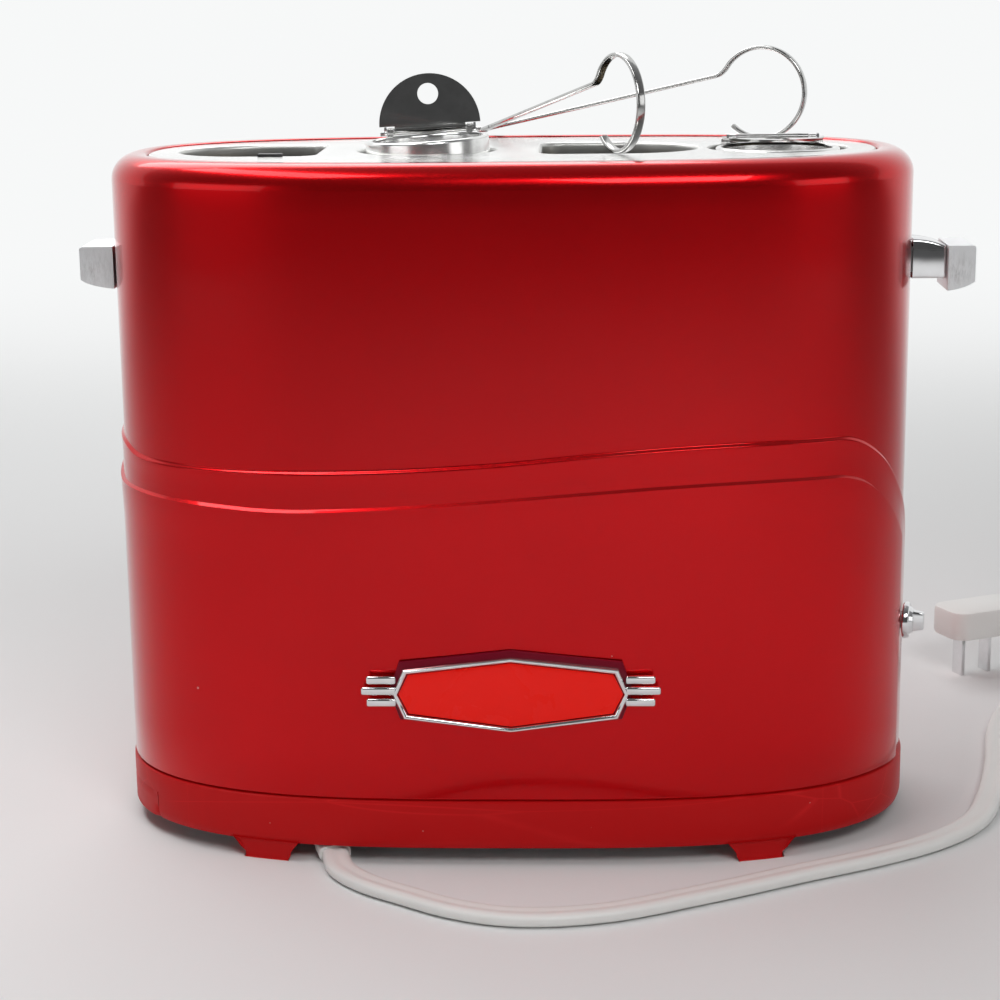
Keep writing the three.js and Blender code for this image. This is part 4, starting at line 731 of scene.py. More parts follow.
def add_node(tree, kind, settings_=None, inputs=None):
    node = tree.nodes.new(kind)
    for key, value in (settings_ or {}).items():
        setattr(node, key, value)
    for key, value in (inputs or {}).items():
        if isinstance(value, bpy.types.NodeSocket):
            tree.links.new(value, node.inputs[key])
        else:
            node.inputs[key].default_value = value
    return node


def new_group(name, inputs, outputs):
    """A shader group with float inputs, and outputs given as name and kind."""
    tree = bpy.data.node_groups.new(name, "ShaderNodeTree")
    for label, value in inputs:
        kind = "NodeSocketColor" if isinstance(value, tuple) else "NodeSocketFloat"
        socket = tree.interface.new_socket(name=label, in_out="INPUT", socket_type=kind)
        socket.default_value = (*value, 1) if isinstance(value, tuple) else value
    for label, kind in outputs:
        tree.interface.new_socket(name=label, in_out="OUTPUT", socket_type=kind)
    return tree, tree.nodes.new("NodeGroupInput"), tree.nodes.new("NodeGroupOutput")


def scaled_coordinates(tree, stretch=(1, 1, 1), turn=(0, 0, 0)):
    place = add_node(tree, "ShaderNodeTexCoord")
    mapping = add_node(tree, "ShaderNodeMapping", None, {"Vector": place.outputs["Object"]})
    mapping.inputs["Scale"].default_value = stretch
    mapping.inputs["Rotation"].default_value = turn
    return mapping.outputs["Vector"]


def haze_group():
    """Smears and handling marks: a soft uneven roughness."""
    tree, given, result = new_group(
        "Surface haze", [("Scale", 20.0), ("Low", 0.1), ("High", 0.2)], [("Roughness", "NodeSocketFloat")])
    spot = scaled_coordinates(tree)
    wide = add_node(tree, "ShaderNodeTexNoise", None, {
        "Vector": spot, "Scale": given.outputs["Scale"], "Detail": 6.0, "Roughness": 0.62, "Distortion": 0.6})
    spread = add_node(tree, "ShaderNodeMapRange", None, {
        "Value": wide.outputs["Fac"], "From Min": 0.32, "From Max": 0.68,
        "To Min": given.outputs["Low"], "To Max": given.outputs["High"]})
    tree.links.new(spread.outputs["Result"], result.inputs["Roughness"])
    return tree


def scratch_group():
    """Hairline scratches in two directions."""
    tree, given, result = new_group(
        "Hairlines", [("Scale", 60.0), ("Amount", 0.4), ("Depth", 0.1)],
        [("Mask", "NodeSocketFloat"), ("Normal", "NodeSocketVector")])
    masks = []
    for stretch, turn in (((1, 1, 0.05), (0.3, 0.5, 0.2)), ((0.05, 1, 1), (0.2, 0.35, 0.9))):
        spot = scaled_coordinates(tree, stretch, turn)
        cells = add_node(tree, "ShaderNodeTexVoronoi", {"feature": "DISTANCE_TO_EDGE"}, {
            "Vector": spot, "Scale": given.outputs["Scale"]})
        line = add_node(tree, "ShaderNodeMapRange", None, {
            "Value": cells.outputs["Distance"], "From Min": 0.0, "From Max": 0.012, "To Min": 1.0, "To Max": 0.0})
        patch = add_node(tree, "ShaderNodeTexNoise", None, {"Vector": spot, "Scale": 30.0, "Detail": 2.0})
        gate = add_node(tree, "ShaderNodeMapRange", None, {
            "Value": patch.outputs["Fac"], "From Min": 0.5, "From Max": 0.62, "To Min": 0.0, "To Max": 1.0})
        both = add_node(tree, "ShaderNodeMath", {"operation": "MULTIPLY"}, {
            0: line.outputs["Result"], 1: gate.outputs["Result"]})
        masks.append(both.outputs[0])
    joined = add_node(tree, "ShaderNodeMath", {"operation": "MAXIMUM"}, {0: masks[0], 1: masks[1]})
    mask = add_node(tree, "ShaderNodeMath", {"operation": "MULTIPLY"}, {0: joined.outputs[0], 1: given.outputs["Amount"]})
    bump = add_node(tree, "ShaderNodeBump", {"invert": True}, {
        "Strength": given.outputs["Depth"], "Distance": 0.00002, "Height": mask.outputs[0]})
    tree.links.new(mask.outputs[0], result.inputs["Mask"])
    tree.links.new(bump.outputs["Normal"], result.inputs["Normal"])
    return tree


def grain_group():
    """Fine moulded or cast grain."""
    tree, given, result = new_group(
        "Moulded grain", [("Scale", 900.0), ("Strength", 0.2), ("Distance", 0.00005)],
        [("Value", "NodeSocketFloat"), ("Normal", "NodeSocketVector")])
    spot = scaled_coordinates(tree)
    fine = add_node(tree, "ShaderNodeTexNoise", None, {"Vector": spot, "Scale": given.outputs["Scale"], "Detail": 3.0})
    bump = add_node(tree, "ShaderNodeBump", None, {
        "Strength": given.outputs["Strength"], "Distance": given.outputs["Distance"], "Height": fine.outputs["Fac"]})
    tree.links.new(fine.outputs["Fac"], result.inputs["Value"])
    tree.links.new(bump.outputs["Normal"], result.inputs["Normal"])
    return tree


def brushed_group():
    """Long grain left by rolling or brushing, along X."""
    tree, given, result = new_group(
        "Rolled grain", [("Scale", 900.0), ("Strength", 0.15)],
        [("Value", "NodeSocketFloat"), ("Normal", "NodeSocketVector")])
    spot = scaled_coordinates(tree, (0.02, 1, 1))
    fine = add_node(tree, "ShaderNodeTexNoise", None, {"Vector": spot, "Scale": given.outputs["Scale"], "Detail": 4.0})
    bump = add_node(tree, "ShaderNodeBump", None, {
        "Strength": given.outputs["Strength"], "Distance": 0.00003, "Height": fine.outputs["Fac"]})
    tree.links.new(fine.outputs["Fac"], result.inputs["Value"])
    tree.links.new(bump.outputs["Normal"], result.inputs["Normal"])
    return tree


def speck_group():
    """Sparse specks of dust."""
    tree, given, result = new_group(
        "Dust specks", [("Scale", 130.0), ("Size", 0.06), ("Share", 0.2)], [("Mask", "NodeSocketFloat")])
    spot = scaled_coordinates(tree)
    cells = add_node(tree, "ShaderNodeTexVoronoi", None, {"Vector": spot, "Scale": given.outputs["Scale"]})
    near = add_node(tree, "ShaderNodeMath", {"operation": "LESS_THAN"}, {
        0: cells.outputs["Distance"], 1: given.outputs["Size"]})
    split = add_node(tree, "ShaderNodeSeparateColor", None, {"Color": cells.outputs["Color"]})
    chosen = add_node(tree, "ShaderNodeMath", {"operation": "LESS_THAN"}, {
        0: split.outputs["Red"], 1: given.outputs["Share"]})
    mask = add_node(tree, "ShaderNodeMath", {"operation": "MULTIPLY"}, {0: near.outputs[0], 1: chosen.outputs[0]})
    tree.links.new(mask.outputs[0], result.inputs["Mask"])
    return tree


def shared_group(name, build):
    return bpy.data.node_groups.get(name) or build()


def place_group(tree, name, build, inputs):
    node = tree.nodes.new("ShaderNodeGroup")
    node.node_tree = shared_group(name, build)
    for key, value in inputs.items():
        node.inputs[key].default_value = value
    return node


def blended(tree, mask, first, second):
    """first where the mask is 0 and second where it is 1."""
    mix = add_node(tree, "ShaderNodeMix", {"data_type": "RGBA"})
    tree.links.new(mask, mix.inputs["Factor"])
    for index, value in ((6, first), (7, second)):
        if isinstance(value, bpy.types.NodeSocket):
            tree.links.new(value, mix.inputs[index])
        else:
            mix.inputs[index].default_value = (*value, 1)
    return mix.outputs[2]


def added(tree, first, second, weight):
    node = add_node(tree, "ShaderNodeMath", {"operation": "MULTIPLY_ADD"}, {0: second, 1: weight, 2: first})
    return node.outputs[0]


def lacquer_finish():
    f = settings().finishes
    material, tree, shader = new_finish("Red metallic lacquer")
    tone = add_node(tree, "ShaderNodeTexNoise", None, {
        "Vector": scaled_coordinates(tree), "Scale": 9.0, "Detail": 3.0, "Roughness": 0.5})
    deep = [channel * 0.9 for channel in f.lacquer]
    spread = add_node(tree, "ShaderNodeMapRange", None, {
        "Value": tone.outputs["Fac"], "From Min": 0.35, "From Max": 0.65, "To Min": 0.0, "To Max": 1.0})
    base = blended(tree, spread.outputs["Result"], deep, f.lacquer)
    dust = place_group(tree, "Dust specks", speck_group, {"Scale": 75.0, "Size": 0.03, "Share": 0.08})
    tree.links.new(blended(tree, dust.outputs["Mask"], base, (0.62, 0.3, 0.28)), shader.inputs["Base Color"])
    haze = place_group(tree, "Surface haze", haze_group, {"Scale": 12.0, "Low": 0.22, "High": 0.27})
    tree.links.new(added(tree, haze.outputs["Roughness"], dust.outputs["Mask"], 0.3), shader.inputs["Roughness"])
    flake = place_group(tree, "Moulded grain", grain_group, {"Scale": 2600.0, "Strength": 0.05, "Distance": 0.00003})
    tree.links.new(flake.outputs["Normal"], shader.inputs["Normal"])
    shader.inputs["Metallic"].default_value = 0.82
    shader.inputs["Specular IOR Level"].default_value = 0.1
    shader.inputs["Coat Weight"].default_value = 1.0
    shader.inputs["Coat Roughness"].default_value = 0.04
    shader.inputs["Coat IOR"].default_value = 1.23
    return material


def moulding_finish():
    f = settings().finishes
    material, tree, shader = new_finish("Red moulded plastic")
    haze = place_group(tree, "Surface haze", haze_group, {"Scale": 30.0, "Low": 0.3, "High": 0.42})
    tree.links.new(haze.outputs["Roughness"], shader.inputs["Roughness"])
    grain = place_group(tree, "Moulded grain", grain_group, {"Scale": 1500.0, "Strength": 0.12, "Distance": 0.00004})
    tree.links.new(grain.outputs["Normal"], shader.inputs["Normal"])
    dust = place_group(tree, "Dust specks", speck_group, {"Scale": 240.0, "Size": 0.06, "Share": 0.1})
    lines = place_group(tree, "Hairlines", scratch_group, {"Scale": 45.0, "Amount": 0.25, "Depth": 0.2})
    worn = blended(tree, lines.outputs["Mask"], f.moulding, [min(1, c * 1.7 + 0.02) for c in f.moulding])
    tree.links.new(blended(tree, dust.outputs["Mask"], worn, (0.5, 0.2, 0.18)), shader.inputs["Base Color"])
    shader.inputs["Specular IOR Level"].default_value = 0.12
    return material


def metal_finish(name, base, low, high, haze_scale=25.0, scratch=0.2, brushed=0.0, dark=0.75):
    """A metal with smears, hairlines and, where it is plain sheet, a rolled grain."""
    material, tree, shader = new_finish(name)
    haze = place_group(tree, "Surface haze", haze_group, {"Scale": haze_scale, "Low": low, "High": high})
    lines = place_group(tree, "Hairlines", scratch_group, {"Scale": 55.0, "Amount": scratch, "Depth": 0.15})
    tree.links.new(added(tree, haze.outputs["Roughness"], lines.outputs["Mask"], 0.25), shader.inputs["Roughness"])
    stain = add_node(tree, "ShaderNodeTexNoise", None, {
        "Vector": scaled_coordinates(tree), "Scale": haze_scale * 2.2, "Detail": 5.0, "Roughness": 0.6})
    spread = add_node(tree, "ShaderNodeMapRange", None, {
        "Value": stain.outputs["Fac"], "From Min": 0.3, "From Max": 0.7, "To Min": 0.0, "To Max": 1.0})
    tree.links.new(
        blended(tree, spread.outputs["Result"], [c * dark for c in base], base), shader.inputs["Base Color"])
    if brushed:
        grain = place_group(tree, "Rolled grain", brushed_group, {"Scale": 1100.0, "Strength": brushed})
        tree.links.new(grain.outputs["Normal"], shader.inputs["Normal"])
    else:
        tree.links.new(lines.outputs["Normal"], shader.inputs["Normal"])
    shader.inputs["Metallic"].default_value = 1.0
    return material


def worn_finish(name, base, centre, reach):
    """Plating that hands have scuffed round one place."""
    material, tree, shader = new_finish(name)
    place = add_node(tree, "ShaderNodeTexCoord")
    mapping = add_node(tree, "ShaderNodeMapping", None, {"Vector": place.outputs["Object"]})
    middle = Vector(centre) + body_middle()
    mapping.inputs["Location"].default_value = [-c / reach for c in middle]
    mapping.inputs["Scale"].default_value = (1 / reach,) * 3
    ball = add_node(tree, "ShaderNodeTexGradient", {"gradient_type": "SPHERICAL"}, {"Vector": mapping.outputs["Vector"]})
    scuff = add_node(tree, "ShaderNodeTexNoise", None, {
        "Vector": scaled_coordinates(tree, (1, 1, 0.22)), "Scale": 900.0, "Detail": 6.0, "Roughness": 0.75})
    gate = add_node(tree, "ShaderNodeMapRange", None, {
        "Value": scuff.outputs["Fac"], "From Min": 0.42, "From Max": 0.66, "To Min": 0.0, "To Max": 0.8})
    mask = add_node(tree, "ShaderNodeMath", {"operation": "MULTIPLY"}, {0: ball.outputs["Fac"], 1: gate.outputs["Result"]})
    haze = place_group(tree, "Surface haze", haze_group, {"Scale": 60.0, "Low": 0.4, "High": 0.52})
    tree.links.new(added(tree, haze.outputs["Roughness"], mask.outputs[0], 0.3), shader.inputs["Roughness"])
    tree.links.new(blended(tree, mask.outputs[0], base, (0.45, 0.45, 0.45)), shader.inputs["Base Color"])
    bump = add_node(tree, "ShaderNodeBump", {"invert": True}, {
        "Strength": 0.3, "Distance": 0.00006, "Height": mask.outputs[0]})
    tree.links.new(bump.outputs["Normal"], shader.inputs["Normal"])
    shader.inputs["Metallic"].default_value = 1.0
    return material


def plain_finish(name, base, low, high, grain_scale, grain_strength, coat=0.0, dust=(0.4, 0.4, 0.4), specular=0.5):
    """A painted or moulded surface with a fine grain and a little dust."""
    material, tree, shader = new_finish(name)
    haze = place_group(tree, "Surface haze", haze_group, {"Scale": 40.0, "Low": low, "High": high})
    tree.links.new(haze.outputs["Roughness"], shader.inputs["Roughness"])
    grain = place_group(tree, "Moulded grain", grain_group, {
        "Scale": grain_scale, "Strength": grain_strength, "Distance": 0.00004})
    tree.links.new(grain.outputs["Normal"], shader.inputs["Normal"])
    specks = place_group(tree, "Dust specks", speck_group, {"Scale": 260.0, "Size": 0.05, "Share": 0.06})
    tree.links.new(blended(tree, specks.outputs["Mask"], base, dust), shader.inputs["Base Color"])
    shader.inputs["Specular IOR Level"].default_value = specular
    shader.inputs["Coat Weight"].default_value = coat
    shader.inputs["Coat Roughness"].default_value = 0.06
    return material


def finish(name):
    """One of the toaster's finishes, made the first time that it is asked for."""
    made = bpy.data.materials.get(name)
    if made:
        return made
    f = settings().finishes
    h = settings().handles
    builders = {
        "Red metallic lacquer": lacquer_finish,
        "Red moulded plastic": moulding_finish,
        "Polished deck": lambda: metal_finish("Polished deck", f.bright, 0.2, 0.28, 18.0, 0.2, 0.0, 0.94),
        "Satin lip": lambda: metal_finish("Satin lip", (0.72, 0.72, 0.7), 0.38, 0.5, 40.0, 0.3, 0.0, 0.85),
        "Polished cage": lambda: metal_finish("Polished cage", f.bright, 0.14, 0.24, 60.0, 0.3, 0.0, 0.9),
        "Mirror flap": lambda: metal_finish("Mirror flap", (0.62, 0.62, 0.61), 0.03, 0.09, 90.0, 0.35, 0.0, 0.8),
        "Bright plating": lambda: metal_finish("Bright plating", f.plated, 0.05, 0.10, 70.0, 0.15, 0.0, 0.88),
        "Plain steel": lambda: metal_finish("Plain steel", f.steel, 0.3, 0.42, 30.0, 0.3, 0.25, 0.7),
        "Tong strip": lambda: metal_finish("Tong strip", f.wire, 0.10, 0.2, 90.0, 0.4, 0.0, 0.75),
        "Worn left grip": lambda: worn_finish(
            "Worn left grip", (0.86, 0.87, 0.88), (-0.1372, -h.half_width, 0.1868), 0.008),
        "Worn lever cap": lambda: worn_finish(
            "Worn lever cap", (0.86, 0.87, 0.88), (0.1448, -h.half_width, 0.1845), 0.0075),
        "Badge enamel": lambda: plain_finish("Badge enamel", f.enamel, 0.25, 0.32, 700.0, 0.05, 0.1, (0.8, 0.1, 0.08), 0.15),
        "Badge backing": lambda: plain_finish("Badge backing", f.backing, 0.3, 0.4, 700.0, 0.05, 0.1, (0.3, 0.05, 0.05), 0.2),
        "White plastic": lambda: plain_finish("White plastic", f.white, 0.38, 0.5, 900.0, 0.1, 0.0, (0.5, 0.46, 0.4)),
        "Black plastic": lambda: plain_finish("Black plastic", f.black, 0.4, 0.5, 900.0, 0.2),
        "Mica board": lambda: plain_finish("Mica board", f.mica, 0.6, 0.75, 500.0, 0.3, 0.0, (0.6, 0.55, 0.4)),
        "Circuit board": lambda: plain_finish("Circuit board", f.board, 0.3, 0.4, 600.0, 0.1),
    }
    return builders[name]()


def dress_nodes(names, finish_name):
    """Gives CAD nodes that keep their own shape a finish."""
    for name in names:
        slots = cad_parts[name].data.materials
        slots.clear()
        slots.append(finish(finish_name))


# Operators


class TOASTER_OT_camera(Operator):
    """Place the camera at the photograph's viewing angle"""

    bl_idname = "toaster.camera"
    bl_label = "Camera"

    def execute(self, context):
        data = bpy.data.cameras.new("camera")
        data.sensor_width = 36
        data.lens = 80.48
        data.clip_end = 50
        camera = bpy.data.objects.new("camera", data)
        context.scene.collection.objects.link(camera)
        yaw, pitch, roll = (math.radians(a) for a in (1.9, 13.359, -0.642))
        forward = Vector((-math.sin(yaw) * math.cos(pitch), math.cos(yaw) * math.cos(pitch), -math.sin(pitch)))
        right = Vector((math.cos(yaw), math.sin(yaw), 0))
        up = right.cross(forward)
        image_right = math.cos(roll) * right + math.sin(roll) * up
        image_up = math.cos(roll) * up - math.sin(roll) * right
        turn = Matrix((image_right, image_up, -forward)).transposed().to_4x4()
        place = Vector((0.0196, -0.7388, 0.2815)) + body_middle()
        camera.matrix_world = Matrix.Translation(place) @ turn
        context.scene.camera = camera
        return {"FINISHED"}


class TOASTER_OT_cord(Operator):
    """Build the flat cord, its gland and its plug"""

    bl_idname = "toaster.cord"
    bl_label = "Cord and plug"

    def execute(self, context):
        c = settings().cord
        middle = body_middle()
        points = smooth_route([Vector(p) / 1000 for p in CORD_ROUTE], 9)
        bm = bmesh.new()
        rings = []
        for k, point in enumerate(points):
            ahead = points[min(k + 1, len(points) - 1)] - points[max(k - 1, 0)]
            across = Vector((ahead.y, -ahead.x, 0)).normalized()
            up = across.cross(ahead.normalized())
            if up.z < 0:
                up.negate()
            rings.append([point + across * u + up * v for u, v in flat_section(c.width, c.thickness, c.groove)])
        sweep(bm, rings, caps=True)
        cord = make_piece("flat_cord", bm, finish("White plastic"), "housing", ["power_cord"], 50)
        path = [tuple(point + middle) for point in points]
        total = sum((Vector(b) - Vector(a)).length for a, b in zip(path, path[1:]))
        gland = self.gland(c)
        plug = self.plug(c)
        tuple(path[0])
        dress_nodes(["plug_blade_left", "plug_blade_right"], "Bright plating")
        return {"FINISHED"}

    def gland(self, c):
        start = Vector(CORD_ROUTE[0]) / 1000
        along = Vector(CORD_ROUTE[1]) / 1000 - start
        along.z = 0
        along.normalize()
        across = Vector((along.y, -along.x, 0))
        up = Vector((0, 0, 1))
        end = start - along * 0.0003
        root = start - along * c.gland
        height = 0.0039
        head = Vector((root.x, root.y, height)) - along * 0.007
        bm = bmesh.new()
        rings = []
        stations = [(0.0, 1.18, 1.18), (0.12, 1.22, 1.2)]
        for rib in range(4):
            share = 0.2 + rib * 0.11
            stations += [(share, 1.22, 1.2), (share + 0.015, 1.04, 1.02), (share + 0.045, 1.04, 1.02), (share + 0.06, 1.24, 1.2)]
        stations += [(0.68, 1.5, 1.3), (0.97, 1.58, 1.32), (1.0, 1.5, 1.2)]
        for share, wide, tall in stations:
            centre = end.lerp(head, share)
            centre.z = end.z + (height - end.z) * min(1, share * 1.6)
            section = flat_section(c.width * wide, min(c.thickness * tall, 0.0059), 0.0)
            rings.append([centre + across * u + up * v for u, v in section])
        sweep(bm, rings, caps=True)
        spun(bm, [(0, height), (0.004, height), (0.004, 0.0084), (0.007, 0.0085), (0.007, 0.0104), (0.0064, 0.0109), (0, 0.0109)],
             32, Matrix.Translation((root.x, root.y, 0)))
        return make_piece("gland_piece", bm, finish("White plastic"), "housing", ["cord_gland"], 45)

    def plug(self, c):
        bm = bmesh.new()
        turn = Matrix.Translation((c.plug_x, c.plug_y, 0)) @ Matrix.Rotation(c.plug_turn, 4, "Z")
        low = 0.0165
        outline = []
        left, right, half, corner = -0.0145, 0.022, 0.0105, 0.006
        for cx, cy, start in ((right - corner, half - corner, 0), (left + corner, half - corner, 90),
                              (left + corner, -half + corner, 180), (right - corner, -half + corner, 270)):
            outline += arc((cx, cy), corner, start, start + 90, 8)
        rings = []
        edge = 0.0016
        for inset, height in ((edge, 0), (edge * 0.29, edge * 0.29), (0, edge), (0, 0.012 - edge),
                              (edge * 0.29, 0.012 - edge * 0.29), (edge, 0.012)):
            ring = []
            for x, y in outline:
                middle_x = (left + right) / 2
                sx = (abs(x - middle_x) - inset) / abs(x - middle_x)
                sy = (abs(y) - inset) / abs(y)
                waist = 1 - 0.10 * eased(1 - abs(x - 0.006) / 0.011) if height not in (0,) else 1
                ring.append(turn @ Vector((middle_x + (x - middle_x) * sx, y * sy * waist, low + height)))
            rings.append(ring)
        sweep(bm, rings, caps=True)
        relief = []
        for k in range(19):
            share = k / 18
            x = right - 0.003 + 0.025 * share
            grow = 1.24 - 0.04 * share if (k % 4) in (1, 2) or k in (0, 18) else 1.04
            wide = (0.0115 + (c.width * 1.2 - 0.0115) * share) * grow / 1.24
            tall = (0.0086 + (c.thickness * 1.2 - 0.0086) * share) * grow / 1.24
            relief.append([turn @ Vector((x, u, 0.0215 + v)) for u, v in flat_section(wide, tall, 0)])
        sweep(bm, relief, caps=True)
        for k in range(4):
            x = -0.001 + k * 0.0045
            for side in (-1, 1):
                y = side * 0.0096
                grip = bmesh.ops.create_cube(bm, size=1)["verts"]
                for vert in grip:
                    vert.co = turn @ Vector((x + vert.co.x * 0.0016, y + vert.co.y * 0.0008, low + 0.006 + vert.co.z * 0.0076))
        return make_piece("plug_shell", bm, finish("White plastic"), "housing", ["plug_body"], 40)


def flat_section(width, thickness, groove):
    """The outline of a flat two-core cord: two rounded cores with a groove between them."""
    points = []
    radius = thickness / 2
    steps = 28
    for k in range(steps):
        angle = 2 * math.pi * (k + 0.5) / steps
        wide = math.copysign(abs(math.cos(angle)) ** 0.8, math.cos(angle)) * width / 2
        tall = math.copysign(abs(math.sin(angle)) ** 0.62, math.sin(angle)) * radius
        dip = groove * math.exp(-((wide / (width * 0.09)) ** 2))
        points.append((wide, tall - math.copysign(dip, tall)))
    return points


def smooth_route(points, parts):
    """A centripetal curve through the points, with parts stretches between each pair."""
    padded = [points[0] * 2 - points[1]] + list(points) + [points[-1] * 2 - points[-2]]
    route = [points[0].copy()]
    for a, b, c, d in zip(padded, padded[1:], padded[2:], padded[3:]):
        t1 = (b - a).length ** 0.5
        t2 = t1 + (c - b).length ** 0.5
        t3 = t2 + (d - c).length ** 0.5
        for k in range(1, parts + 1):
            t = t1 + (t2 - t1) * k / parts
            p = a.lerp(b, t / t1)
            q = b.lerp(c, (t - t1) / (t2 - t1))
            r = c.lerp(d, (t - t2) / (t3 - t2))
            u = p.lerp(q, t / t2)
            v = q.lerp(r, (t - t1) / (t3 - t1))
            route.append(u.lerp(v, (t - t1) / (t2 - t1)))
    return route


class TOASTER_OT_shell(Operator):
    """Build the pressed shell with its rolled rim and swoops"""

    bl_idname = "toaster.shell"
    bl_label = "Shell"

    def execute(self, context):
        s = settings()
        bm = bmesh.new()
        shell_mesh(bm)
        piece = make_piece("shell_skin", bm, finish("Red metallic lacquer"), "housing", ["outer_shell"])
        cutter = bmesh.new()
        block(cutter, (s.shell.half_length - 0.006, -0.0024, 0.116), (s.shell.half_length + 0.006, 0.0024, 0.193), 0.0011)
        centre, outward = dial_seat()
        spun(cutter, [(0, -0.008), (0.0029, -0.008), (0.0029, 0.006), (0, 0.006)], 24, frame_matrix(centre, outward))
        cut_away(piece, cutter)
        return {"FINISHED"}


def dial_seat():
    """Where the dial's axis meets the right wall, and the way that the wall faces there."""
    s = settings().shell
    d = settings().dial
    angles, _, places = measured_front()
    angle = next(a for a, place in zip(angles, places) if place.x > 0 and abs(place.y) < d.y)
    x, y = plan_point(angle, s.band_rise + s.band_lip)
    ends = s.end_power / s.half_length * (x / s.half_length) ** (s.end_power - 1)
    sides = s.side_power / s.half_depth * (-y / s.half_depth) ** (s.side_power - 1)
    return Vector((x, y, d.height)), Vector((ends, -sides, 0)).normalized()


class TOASTER_OT_deck(Operator):
    """Build the bright deck with its turned openings"""

    bl_idname = "toaster.deck"
    bl_label = "Deck"

    def execute(self, context):
        d = settings().deck
        bm = bmesh.new()
        deck_mesh(bm)
        piece = make_piece("deck_plate", bm, [finish("Polished deck"), finish("Satin lip")], "housing", ["top_plate"], 60)
        if piece.data.polygons[0].normal.z < -0.5:
            piece.data.flip_normals()
        sheet = piece.modifiers.new("sheet", "SOLIDIFY")
        sheet.thickness = d.sheet * 0.85
        sheet.offset = -1
        sheet.use_even_offset = True
        even = piece.modifiers.new("even", "WEIGHTED_NORMAL")
        even.keep_sharp = True
        bm = bmesh.new()
        y = d.slot_y - d.slot_half_width
        block(bm, (d.clip_x - 0.004, y - 0.0022, d.top + 0.0001), (d.clip_x + 0.004, y + 0.0016, d.top + 0.0009), 0.0003)
        block(bm, (d.clip_x - 0.004, y + 0.0004, d.top - 0.0075), (d.clip_x + 0.004, y + 0.0013, d.top + 0.0006), 0.0003)
        make_piece("slot_clip", bm, finish("Black plastic"), "housing", ())
        return {"FINISHED"}


